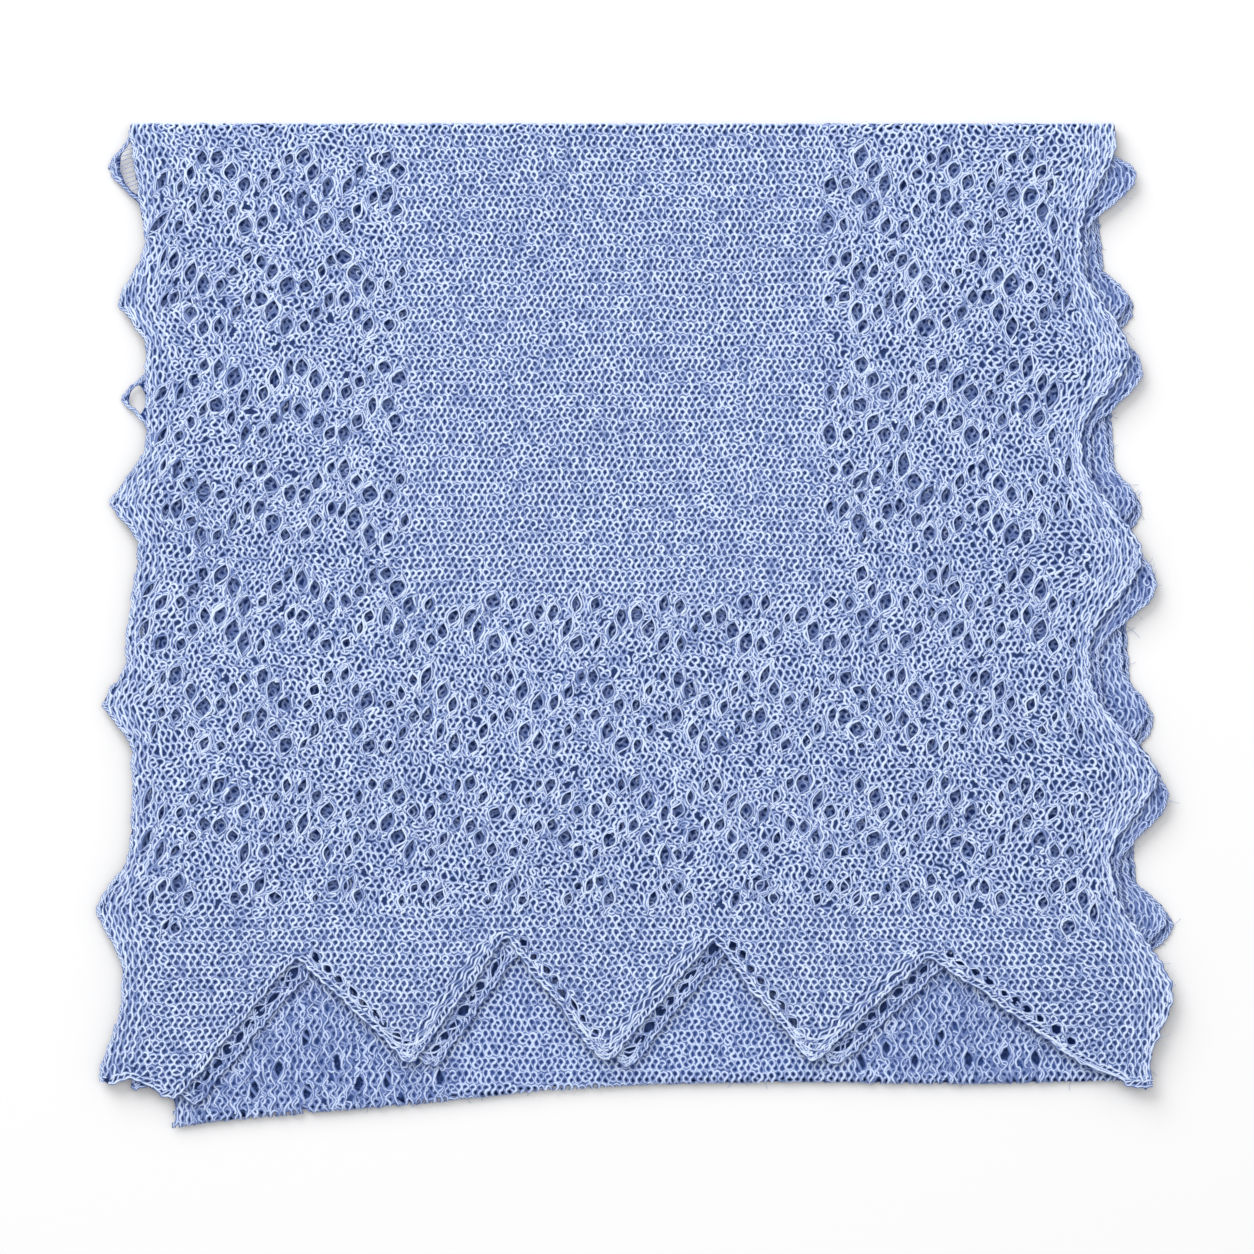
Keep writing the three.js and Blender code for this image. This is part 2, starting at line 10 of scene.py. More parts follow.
import bpy
import numpy as np
from mathutils.geometry import delaunay_2d_cdt
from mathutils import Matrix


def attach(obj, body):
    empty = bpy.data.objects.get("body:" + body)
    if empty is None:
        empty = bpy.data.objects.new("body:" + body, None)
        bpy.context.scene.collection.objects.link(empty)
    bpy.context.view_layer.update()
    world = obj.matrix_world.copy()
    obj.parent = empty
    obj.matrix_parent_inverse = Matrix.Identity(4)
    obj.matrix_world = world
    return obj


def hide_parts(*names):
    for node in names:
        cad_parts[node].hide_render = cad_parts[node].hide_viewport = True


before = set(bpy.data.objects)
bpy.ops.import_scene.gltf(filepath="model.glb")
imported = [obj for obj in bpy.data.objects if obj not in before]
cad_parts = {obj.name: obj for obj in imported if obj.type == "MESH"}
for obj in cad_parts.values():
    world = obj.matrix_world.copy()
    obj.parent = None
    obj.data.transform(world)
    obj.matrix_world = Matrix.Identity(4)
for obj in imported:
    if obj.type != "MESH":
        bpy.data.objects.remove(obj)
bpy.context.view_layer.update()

# The table and the light
# A plain white table top, a large soft lamp up and to the left, and pale light from all round.
# The camera looks straight down through a long lens, so that the folded stack shows flat.
MM = 0.001
TABLE_DROP = 0.15
PICTURE_WIDTH = 501.6
PICTURE_CENTRE = (-2.8, -0.4)
CAMERA_HEIGHT = 3000.0
SENSOR = 36.0
CLOTH_TOP = 6.5

scene = bpy.context.scene
scene.view_settings.view_transform = "Standard"
scene.world = bpy.data.worlds.new("pale_room")
scene.world.use_nodes = True
room = scene.world.node_tree.nodes["Background"]
room.inputs["Color"].default_value = (1.0, 1.0, 1.0, 1.0)
room.inputs["Strength"].default_value = 0.53

bpy.ops.mesh.primitive_plane_add(size=9.0, location=(0, 0, -TABLE_DROP * MM))
table = bpy.context.object
table.name = "table_top"
table_paint = bpy.data.materials.new("white_table")
table_paint.use_nodes = True
table_finish = table_paint.node_tree.nodes["Principled BSDF"]
table_finish.inputs["Base Color"].default_value = (0.86, 0.86, 0.865, 1.0)
table_finish.inputs["Roughness"].default_value = 0.8
table_finish.inputs["Specular IOR Level"].default_value = 0.1
table.data.materials.append(table_paint)


def soft_lamp(name, place, side, power):
    """A square lamp that faces the middle of the scarf; place in metres."""
    data = bpy.data.lights.new(name, "AREA")
    data.size = side
    data.energy = power
    lamp = bpy.data.objects.new(name, data)
    lamp.location = place
    x, y, z = place
    lamp.rotation_euler = (math.atan2(math.hypot(x, y), z), 0.0, math.atan2(y, x) + math.pi / 2)
    scene.collection.objects.link(lamp)


soft_lamp("window_lamp", (-2.0, 3.3, 2.7), 3.4, 187.0)
soft_lamp("ceiling_lamp", (0.25, 0.3, 2.2), 1.6, 14.0)

camera_data = bpy.data.cameras.new("camera")
camera_data.sensor_width = SENSOR
camera_data.lens = SENSOR * CAMERA_HEIGHT / PICTURE_WIDTH
camera_data.clip_end = 20.0
camera = bpy.data.objects.new("camera", camera_data)
camera.location = (PICTURE_CENTRE[0] * MM, PICTURE_CENTRE[1] * MM, (CLOTH_TOP + CAMERA_HEIGHT) * MM)
scene.collection.objects.link(camera)
scene.camera = camera


# The wool
# Fine two-ply lace wool, dyed a soft periwinkle blue. Its strands carry painted light: a painted highlight
# along the crest, where the light catches the halo of fibres, painted shade on the flanks, and darker
# painted shade where strands leave a gap.
class Shade:
    """One value or colour among a material's nodes. Sums and products of values add Math nodes."""

    def __init__(self, tree, socket=None):
        self.tree = tree
        self.socket = socket

    def node(self, kind, settings=None, sockets=None, out=0):
        made = self.tree.nodes.new(kind)
        for name, value in (settings or {}).items():
            setattr(made, name, value)
        for name, value in (sockets or {}).items():
            if isinstance(value, Shade):
                self.tree.links.new(value.socket, made.inputs[name])
            else:
                made.inputs[name].default_value = value
        return Shade(self.tree, made.outputs[out])

    def math(self, operation, first, second=0.0):
        return self.node("ShaderNodeMath", {"operation": operation}, {0: first, 1: second})

    def __add__(self, other):
        return self.math("ADD", self, other)

    def __sub__(self, other):
        return self.math("SUBTRACT", self, other)

    def __rsub__(self, other):
        return self.math("SUBTRACT", other, self)

    def __mul__(self, other):
        return self.math("MULTIPLY", self, other)

    __radd__ = __add__
    __rmul__ = __mul__

    def rise(self, low, high):
        """0 below low, 1 above high, and smooth between."""
        ends = {"From Min": low, "From Max": high, "Value": self}
        return self.node("ShaderNodeMapRange", {"interpolation_type": "SMOOTHSTEP"}, ends)

    def blend(self, first, second):
        """The first colour where this value is 0, and the second where it is 1."""
        sockets = {0: self, 6: first, 7: second}
        return self.node("ShaderNodeMix", {"data_type": "RGBA"}, sockets, out=2)

    def feed(self, shader, name):
        self.tree.links.new(self.socket, shader.inputs[name])

    def noise(self, where, scale):
        return self.node("ShaderNodeTexNoise", sockets={"Vector": where, "Scale": scale, "Detail": 2.0})


def new_wool(name, roughness=0.88):
    """A dull material for wool; returns it, its shader's node and a first Shade."""
    material = bpy.data.materials.new(name)
    material.use_nodes = True
    shader = material.node_tree.nodes["Principled BSDF"]
    shader.inputs["Roughness"].default_value = roughness
    shader.inputs["Specular IOR Level"].default_value = 0.0
    return material, shader, Shade(material.node_tree)


def strand_wool(name, flank, body, crest):
    """The wool of a strand: painted shade at its edges and in the gaps, its own colour, and a painted
    highlight on its crest.
    """
    material, shader, shade = new_wool(name)
    across = shade.node("ShaderNodeAttribute", {"attribute_name": "crest"}, out="Fac")
    tone = shade.node("ShaderNodeAttribute", {"attribute_name": "tone"}, out="Fac")
    where = shade.node("ShaderNodeTexCoord", out="Object")
    fibres = shade.noise(where, 2600.0) - 0.5
    patches = shade.noise(where, 60.0) - 0.5
    level = across + 0.4 * tone + 0.5 * fibres + 0.04 * patches
    colour = level.rise(0.0, 0.45).blend(flank, body)
    colour = level.rise(0.52, 0.94).blend(colour, crest)
    colour.feed(shader, "Base Color")
    bump = shade.node("ShaderNodeBump", sockets={"Height": fibres, "Strength": 0.35, "Distance": 0.0002})
    bump.feed(shader, "Normal")
    return material


def ground_wool(name, gap, body, crest, net=0.0, net_shade=0.0, pitch=2.5):
    """The wool behind the strands, painted dark as shade where they leave gaps, with a finer net of strands
    of the given pitch that painted shade thins where its lace value is set.
    """
    material, shader, shade = new_wool(name, roughness=0.95)
    where = shade.node("ShaderNodeTexCoord", out="Object")
    fibres = shade.noise(where, 1500.0) - 0.5
    lines = shade.node("ShaderNodeTexVoronoi", {"feature": "DISTANCE_TO_EDGE"},
                       {"Vector": where, "Scale": 1.0 / (pitch * MM), "Randomness": 0.8})
    net_shade_share = shade.node("ShaderNodeAttribute", {"attribute_name": "lace"}, out="Fac")
    level = (net + net_shade * net_shade_share) * (1.0 - lines.rise(0.03, 0.24)) + 0.35 * fibres
    colour = level.rise(0.05, 0.55).blend(gap, body)
    colour = level.rise(0.6, 1.1).blend(colour, crest)
    colour.feed(shader, "Base Color")
    bump = shade.node("ShaderNodeBump", sockets={"Height": level, "Strength": 0.6, "Distance": 0.0004})
    bump.feed(shader, "Normal")
    return material


# Painted shade for the gaps and flanks, the wool's own blue, and a painted highlight for the crests.
GAP_SHADE_BLUE = (0.022, 0.042, 0.13, 1.0)
FLANK_SHADE_BLUE = (0.115, 0.17, 0.385, 1.0)
WOOL_BLUE = (0.2, 0.275, 0.53, 1.0)
CREST_HIGHLIGHT_BLUE = (0.7, 0.8, 0.97, 1.0)
top_wool = strand_wool("wool_top_strands", FLANK_SHADE_BLUE, WOOL_BLUE, CREST_HIGHLIGHT_BLUE)
top_ground = ground_wool("wool_top_ground", GAP_SHADE_BLUE, FLANK_SHADE_BLUE, WOOL_BLUE, 0.34, -0.22, pitch=1.7)


def add_piece(mesh, material):
    """A piece of the scarf, which rides on its only body."""
    mesh.materials.append(material)
    piece = bpy.data.objects.new(mesh.name, mesh)
    scene.collection.objects.link(piece)
    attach(piece, "root")
    return piece


def make_mesh(name, points, faces, **values):
    """A smooth mesh of points in millimetres; values are kept on its points by name."""
    used, numbers = np.unique(faces, return_inverse=True)
    numbers = numbers.reshape(faces.shape)
    mesh = bpy.data.meshes.new(name)
    mesh.vertices.add(len(used))
    mesh.vertices.foreach_set("co", (points[used] * MM).ravel())
    mesh.loops.add(numbers.size)
    mesh.loops.foreach_set("vertex_index", numbers.ravel())
    mesh.polygons.add(len(numbers))
    mesh.polygons.foreach_set("loop_start", np.arange(0, numbers.size, numbers.shape[1]))
    mesh.update(calc_edges=True)
    mesh.validate()
    mesh.shade_smooth()
    for value_name, value in values.items():
        attribute = mesh.attributes.new(value_name, "FLOAT", "POINT")
        attribute.data.foreach_set("value", value[used])
    return mesh


class Strands:
    """Strands of yarn, each a low ridge: a crest with a flank on either side."""

    def __init__(self):
        self.points, self.faces, self.crest, self.tone = [], [], [], []
        self.count = 0

    def add(self, middle, up, half, height, tone, keep=None):
        """Adds strands that follow rows of points; keep says which stretches between them stay."""
        side = np.cross(np.gradient(middle, axis=1), up)
        side /= np.linalg.norm(side, axis=2, keepdims=True) + 1e-9
        rows, samples = middle.shape[:2]
        half = np.broadcast_to(half, (rows, samples))[..., None]
        height = np.broadcast_to(height, (rows, samples))[..., None]
        foot = middle - up * height
        points = np.stack([foot - side * half, middle, foot + side * half], axis=2)
        start = self.count + np.arange(rows * samples).reshape(rows, samples) * 3
        here, there = start[:, :-1], start[:, 1:]
        if keep is not None:
            here, there = here[keep], there[keep]
        here, there = here.ravel(), there.ravel()
        for k in (0, 1):
            self.faces.append(np.stack([here + k, here + k + 1, there + k + 1, there + k], axis=1))
        self.points.append(points.reshape(-1, 3))
        self.crest.append(np.tile([0.0, 1.0, 0.0], rows * samples))
        self.tone.append(np.repeat(np.broadcast_to(tone, (rows, samples)).ravel(), 3))
        self.count += rows * samples * 3

    def piece(self, name, material, slot):
        mesh = make_mesh(name, np.concatenate(self.points), np.concatenate(self.faces),
                         crest=np.concatenate(self.crest), tone=np.concatenate(self.tone))
        return add_piece(mesh, material)


# The first end
# A panel of lace that ends in teeth, with scalloped sides, knitted in one with its edging. It lies
# on top, and its far part turns down round the outside of the far fold.
CLOTH = 1.5
AIR = 0.3
LAYER = CLOTH + AIR
FOLD_Y = 198.2
TURN_SHARE = 0.95
SWELL = 1.0
TIP_SAG = 2.4

Point = namedtuple("Point", "y reach above below")
Edge = namedtuple("Edge", "side line points sharp", defaults=[0.55])
Corner = namedtuple("Corner", "x y round")
Layer = namedtuple("Layer", "number partner sag_edge sag_over")

TOP_LEFT = Edge(-1, [(198, -202), (176, -198.5), (152, -195.2), (74, -195.2), (22, -199), (-6, -203.2),
                     (-64, -200.2), (-145, -204.6), (-184, -206.2)], [
    Point(129.6, 11.2, 25.6, 18.4),
    Point(49.2, 13.0, 23.2, 17.0),
    Point(-31.6, 11.2, 18.0, 18.0),
    Point(-113.2, 12.8, 24.0, 27.0),
    Point(-180.4, 8.2, 32.0, 20.0),
])
TOP_RIGHT = Edge(1, [(198, 178.8), (74, 179.2), (-15.6, 182.4), (-97.6, 191.2), (-184.4, 207.6)], [
    Point(194.0, 14.0, 60.0, 36.0),
    Point(108.4, 19.4, 40.0, 32.0),
    Point(28.4, 22.6, 40.0, 38.0),
    Point(-59.6, 22.2, 38.0, 35.0),
    Point(-145.2, 15.4, 42.0, 34.0),
], 0.15)
TEETH = [
    Corner(-209.4, -184.6, 1.5),
    Corner(-201.6, -181.6, 1.5),
    Corner(-194.4, -184.2, 1.5),
    Corner(-184.6, -190.8, 3.0),
    Corner(-134.8, -131.8, 1.5),
    Corner(-89.2, -176.6, 5.0),
    Corner(-51.6, -125.0, 1.5),
    Corner(-11.6, -176.6, 5.0),
    Corner(31.6, -125.0, 1.5),
    Corner(71.2, -176.2, 5.0),
    Corner(118.0, -131.8, 1.5),
    Corner(178.0, -174.2, 8.0),
    Corner(200.4, -184.0, 2.0),
]
TOP_CORNER = (207.6, -184.4)
# Corners of the teeth by number: the notches between them, their tips, and where a flank rises from.
NOTCHES = (4, 6, 8, 10)
TIPS = (5, 7, 9, 11)
RISING_FROM = TIPS[:3]


def ease(t):
    t = np.clip(t, 0.0, 1.0)
    return t * t * (3.0 - 2.0 * t)


def line_x(edge, y):
    return np.interp(y, *np.transpose(sorted(edge.line)))


def edge_x(edge, y):
    """Where a side edge runs: along its line, and out over the points of its edging."""
    x = line_x(edge, y) + 0.3 * np.sin(1.57 * y + edge.side) + 0.25 * np.sin(0.83 * y)
    for point in edge.points:
        span = np.where(y > point.y, point.above, point.below)
        t = np.clip(np.abs(y - point.y) / span, 0.0, 1.0)
        shape = (1 - edge.sharp) * np.cos(t * math.pi / 2) ** 2 + edge.sharp * (1 - t) ** 1.5
        x = x + edge.side * point.reach * shape
    return x


def swell(x, y):
    """The soft rises of the stack, 0 to 1, flat again at its edges."""
    across = 2 * math.pi * (x + 0.35 * y) / 150 + 0.8
    along = 2 * math.pi * (y - 0.2 * x) / 118 + 0.4
    rise = 0.5 + 0.5 * np.sin(across) * np.cos(along)
    return rise * ease((200 - np.abs(x)) / 50) * ease((FOLD_Y - y) / 40) * ease((y + 185) / 40)


def height_of(number):
    return CLOTH / 2 + number * LAYER


def turn_radius(layer):
    return (height_of(layer.number) - height_of(layer.partner)) / 2


def lay(layer, x, y, lift):
    """Lays points of an end's flat pattern in space; returns them and the way the cloth faces."""
    radius = turn_radius(layer)
    centre = (height_of(layer.number) + height_of(layer.partner)) / 2
    past = line_x(layer.sag_edge, y) - x
    sag = TIP_SAG * ease(past / layer.sag_over) * ease((FOLD_Y - y) / 20)
    flat_z = height_of(layer.number) + SWELL * layer.number / 3 * swell(x, y) - sag
    angle = np.clip((y - FOLD_Y) / radius, 0.0, None)
    up = np.stack([np.zeros_like(angle), np.sin(angle), np.cos(angle)], axis=-1)
    turned = y > FOLD_Y
    laid = np.stack([x, np.where(turned, FOLD_Y + radius * np.sin(angle), y),
                     np.where(turned, centre + radius * np.cos(angle), flat_z)], axis=-1)
    return laid + up * np.broadcast_to(lift, x.shape)[..., None], up


def on_layer(layer):
    """Lays points on one end, for cloth_mesh and the cords."""
    return lambda x, y, lift: lay(layer, x, y, lift)


def far_end(layer):
    return FOLD_Y + TURN_SHARE * math.pi * turn_radius(layer)


def round_corners(corners, first, last):
    """An edging's line up to its last point, with a short arc at each corner."""
    around = [first, *corners, last]
    line = []
    for k, corner in enumerate(corners):
        here = np.array(corner[:2])
        ends = []
        for other in (around[k], around[k + 2]):
            away = np.array(other[:2]) - here
            ends.append(here + away * min(0.45, corner.round / np.linalg.norm(away)))
        for t in np.linspace(0, 1, 5):
            line.append((1 - t) ** 2 * ends[0] + 2 * t * (1 - t) * here + t * t * ends[1])
    return [*line, np.array(last)]


def spaced(line, step):
    """Points along a line, a step apart."""
    line = np.asarray(line, float)
    lengths = np.linalg.norm(np.diff(line, axis=0), axis=1)
    reach = np.concatenate([[0.0], np.cumsum(lengths)])
    at = np.linspace(0, reach[-1], max(2, int(round(reach[-1] / step)) + 1))
    return np.stack([np.interp(at, reach, line[:, 0]), np.interp(at, reach, line[:, 1])], axis=1)


chance = np.random.default_rng(11)


def drift(count, every, rows=1):
    """Rows of numbers that wander smoothly round 0, with a new aim at every few of them."""
    aims = chance.normal(0, 1, (rows, count // every + 3))
    at = np.arange(count) / every
    whole = at.astype(int)
    part = ease(at - whole)
    return aims[:, whole] * (1 - part) + aims[:, whole + 1] * part


def normals_of(line):
    """The way inward at each point of a line that runs counter-clockwise."""
    along = np.gradient(line, axis=0)
    along /= np.linalg.norm(along, axis=1, keepdims=True) + 1e-9
    return np.stack([-along[:, 1], along[:, 0]], axis=1)


def ragged(line, step=1.3):
    """An edging's line, uneven from stitch to stitch."""
    line = spaced(line, step)
    uneven = 0.25 * drift(len(line), 2)[0] + 0.45 * drift(len(line), 7)[0]
    return line + normals_of(line) * uneven[:, None]


def panel_outline(left, right, near, far_y, step=1.6):
    """Counter-clockwise: along the near edge, up the right side, over the far edge, down the left."""
    up_y = np.arange(near[-1, 1] + step, far_y, step)
    down_y = np.arange(far_y, near[0, 1] + step, -step)
    up = np.stack([edge_x(right, np.minimum(up_y, FOLD_Y)), up_y], axis=1)
    down = np.stack([edge_x(left, np.minimum(down_y, FOLD_Y)), down_y], axis=1)
    return np.concatenate([spaced(near, step), up, spaced([up[-1], down[0]], 5.0)[1:-1], down])


def inside(outline, x, y):
    """Which points lie within a closed outline."""
    found = np.zeros(x.shape, bool)
    for (ax, ay), (bx, by) in zip(outline, np.roll(outline, -1, axis=0)):
        if ay != by:
            found ^= ((ay > y) != (by > y)) & (x < ax + (y - ay) / (by - ay) * (bx - ax))
    return found


def distance_to(outline, x, y, near=12.0, closed=True):
    """How far points lie from an outline, where that is less than near."""
    found = np.full(x.shape, near)
    ends = np.roll(outline, -1, axis=0) if closed else outline[1:]
    for (ax, ay), (bx, by) in zip(outline, ends):
        close = ((x > min(ax, bx) - near) & (x < max(ax, bx) + near)
                 & (y > min(ay, by) - near) & (y < max(ay, by) + near))
        px, py = x[close] - ax, y[close] - ay
        t = np.clip((px * (bx - ax) + py * (by - ay)) / ((bx - ax) ** 2 + (by - ay) ** 2 + 1e-9), 0, 1)
        gap = np.hypot(px - t * (bx - ax), py - t * (by - ay))
        found[close] = np.minimum(found[close], gap)
    return found


top_layer = Layer(3, 0, TOP_LEFT, 11.0)
top_near = ragged(round_corners(TEETH, (-214.4, -180.6), TOP_CORNER))
top_outline = panel_outline(TOP_LEFT, TOP_RIGHT, top_near, far_end(top_layer))

# The lace of the panel
# Eyelets run in zigzag lines, in mirrored pairs with plain diamonds between them. Towards the sides
# the cloth is drawn out lengthwise, so that they turn tall and slender.
Eyelet = namedtuple("Eyelet", "x y half_x half_y tilt")
ZIGZAG = 33.4
REPEAT = 83.6
LINES_BELOW = [(0.0, 0.0), (16.0, 0.0), (40.4, 0.5), (56.4, 0.5)]
PEAK_Y = -60.8
PEAK_X = {"left": -35.2, "right": 121.2}
RIGHT_FROM = 90.0
EYELET_STEP = 5.2
EYELET_HALF = (2.5, 3.75)
SLOPE = 1.05
PLAIN_CENTRE = {"left": -92.0, "right": 76.0, "bottom": 10.0}
LACE_END_Y = -112.0
SHORT_RUNS = [-114.8, -82.8, -49.6, -14.0, 15.6, 49.2, 82.8, 117.2]
SHORT_RUN_Y = -103.2


def lace_eyelets():
    """Every eyelet of the first end, with its size and tilt."""
    found = []
    for repeat in range(-4, 3):
        for below, aside in LINES_BELOW:
            for column in range(-8, 9):
                for k in range(-3, 3):
                    dx = (k + 0.5) * EYELET_STEP
                    y = PEAK_Y - repeat * REPEAT - below - SLOPE * abs(dx)
                    for zone, peak in PEAK_X.items():
                        x = peak + (column + aside) * ZIGZAG + dx
                        if (zone == "right") == (x > RIGHT_FROM):
                            found.append((x, y, 1.0 if dx > 0 else 0.78))
    for x in SHORT_RUNS:
        found += [(x + k * EYELET_STEP, SHORT_RUN_Y - k * SLOPE * EYELET_STEP, 0.95) for k in range(3)]
    kept = []
    for x, y, size in found:
        jitter = chance.normal(0, 1, 5)
        centre = PLAIN_CENTRE["left"] < x < PLAIN_CENTRE["right"] and y > PLAIN_CENTRE["bottom"]
        from_side = min(x - line_x(TOP_LEFT, y), line_x(TOP_RIGHT, y) - x)
        if centre or y > FOLD_Y - 5 or from_side < 4.5:
            continue
        if y < LACE_END_Y - 8 or (y < LACE_END_Y and from_side > 25):
            continue
        x, y = x + 0.6 * jitter[0], y + 0.6 * jitter[1]
        slender = ease((20 - from_side) / 14)
        size *= 0.88 + 0.12 * ease((y + 40) / 60)
        half_x = size * (EYELET_HALF[0] - 1.0 * slender) * (1 + 0.14 * jitter[2])
        half_y = size * (EYELET_HALF[1] + 0.6 * slender) * (1 + 0.14 * jitter[3])
        tilt = 0.26 - 0.3 * slender * np.sign(x) + 0.16 * jitter[4]
        kept.append(Eyelet(x, y, half_x, half_y, tilt))
    return kept


def clear_of(outline, eyelets, gap):
    x, y = np.array([e[:2] for e in eyelets]).T
    good = inside(outline, x, y) & (distance_to(outline, x, y) > gap)
    return [e for e, ok in zip(eyelets, good) if ok]


def round_of(a, b):
    """1 on the rim of an eyelet, which is drawn out to a point above and below."""
    return (np.abs(a) ** 1.6 + np.abs(b) ** 1.6) ** (1 / 1.6)


def offsets(eyelet, x, y):
    """Distance from an eyelet's middle, 1 on its rim, and the same as two components."""
    c, s = math.cos(eyelet.tilt), math.sin(eyelet.tilt)
    a = (c * (x - eyelet.x) - s * (y - eyelet.y)) / eyelet.half_x
    b = (s * (x - eyelet.x) + c * (y - eyelet.y)) / eyelet.half_y
    return round_of(a, b), a, b


def back(eyelet, a, b):
    """The point at these components from an eyelet's middle."""
    c, s = math.cos(eyelet.tilt), math.sin(eyelet.tilt)
    a, b = a * eyelet.half_x, b * eyelet.half_y
    return eyelet.x + c * a + s * b, eyelet.y - s * a + c * b


def make_way(eyelets, x, y, core=0.3, reach=1.9):
    """Moves yarn aside, round the eyelets; also says which points were at an eyelet's middle."""
    first, second = np.full(x.shape, 9.0), np.full(x.shape, 9.0)
    nearest = np.full(x.shape, -1)
    for k, e in enumerate(eyelets):
        wide = 2.6 * max(e.half_x, e.half_y)
        close = (np.abs(x - e.x) < wide) & (np.abs(y - e.y) < wide)
        d = offsets(e, x[close], y[close])[0]
        f, s, n = first[close], second[close], nearest[close]
        closer = d < f
        second[close] = np.where(closer, f, np.minimum(s, d))
        first[close] = np.where(closer, d, f)
        nearest[close] = np.where(closer, k, n)
    limit = np.clip((first + second) / 2, 1.02, reach)
    pushed = np.where(first < limit, 1.0 + (first - core) * (limit - 1.0) / (limit - core), first)
    x, y = x.copy(), y.copy()
    for k, e in enumerate(eyelets):
        mine = (nearest == k) & (first < limit)
        d, a, b = offsets(e, x[mine], y[mine])
        scale = np.maximum(pushed[mine], 1.0) / np.maximum(d, 1e-3)
        x[mine], y[mine] = back(e, a * scale, b * scale)
    return x, y, first < core


def in_eyelets(eyelets, x, y, rim, window):
    """Which points lie in an eyelet, out to rim, and no further than window from its middle."""
    found = np.zeros(x.shape, bool)
    for e in eyelets:
        close = (np.abs(x - e.x) < window) & (np.abs(y - e.y) < window)
        found[close] |= offsets(e, x[close], y[close])[0] < rim
    return found


def flank_eyelets(flanks, inset, spacing, half_x, half_y, shift=(0.0, 0.0)):
    """A row of eyelets along flanks of the teeth, each from one corner of the edging to the next."""
    found = []
    for k in flanks:
        start, end = (np.array(TEETH[j][:2]) + shift for j in (k, k + 1))
        length = np.linalg.norm(end - start)
        along = (end - start) / length
        inward = np.array([-along[1], along[0]])
        for at in np.arange(6.0, length - 5.0, spacing):
            jitter = np.clip(chance.normal(0, 1, 5), -1.6, 1.6)
            x, y = start + along * (at + 0.9 * jitter[0]) + inward * (inset + 0.4 * jitter[1])
            found.append(Eyelet(x, y, half_x * (1 + 0.2 * jitter[2]), half_y * (1 + 0.2 * jitter[3]),
                                math.atan2(*along) + 0.25 * jitter[4]))
    return found


def partings(xs, ys, half_x, half_y, share, larger):
    """Places between the eyelets where strands only part a little, so that the ground shows."""
    centres = np.array([e[:2] for e in larger])
    found = []
    for row, y in enumerate(ys):
        for x in xs + (row % 2) * (xs[1] - xs[0]) / 2:
            jitter = np.clip(chance.normal(0, 1, 5), -1.6, 1.6)
            at = np.array([x + 1.2 * jitter[0], y + 1.2 * jitter[1]])
            clear = np.hypot(*((centres - at) / (1.0, 1.25)).T).min() > half_x + 3.2
            if clear and chance.random() < share:
                found.append(Eyelet(*at, half_x * (1 + 0.25 * jitter[2]), half_y * (1 + 0.25 * jitter[3]),
                                    0.2 + 0.4 * jitter[4]))
    return found


eyelets = clear_of(top_outline, lace_eyelets(), 5.0)
falling_eyelets = flank_eyelets(NOTCHES, 5.0, 6.5, 1.6, 2.2)
eyelets += falling_eyelets


def lace_share(x, y):
    """1 where the panel is open lace, and 0 where it is plain."""
    plain = ease((x - PLAIN_CENTRE["left"] + 6) / 8) * ease((PLAIN_CENTRE["right"] + 6 - x) / 8)
    plain = plain * ease((y - PLAIN_CENTRE["bottom"] + 6) / 8)
    return (1 - plain) * ease((y - LACE_END_Y + 6) / 8)


parted = partings(np.arange(-196.0, 184.0, 7.4), np.arange(LACE_END_Y, 190.0, 6.2), 0.8, 1.3, 0.42, eyelets)
parted = [e for e in clear_of(top_outline, parted, 5.0) if lace_share(e.x, e.y) > 0.9]

GROUND_SINK = 0.15
GROUND_THICKNESS = 0.6


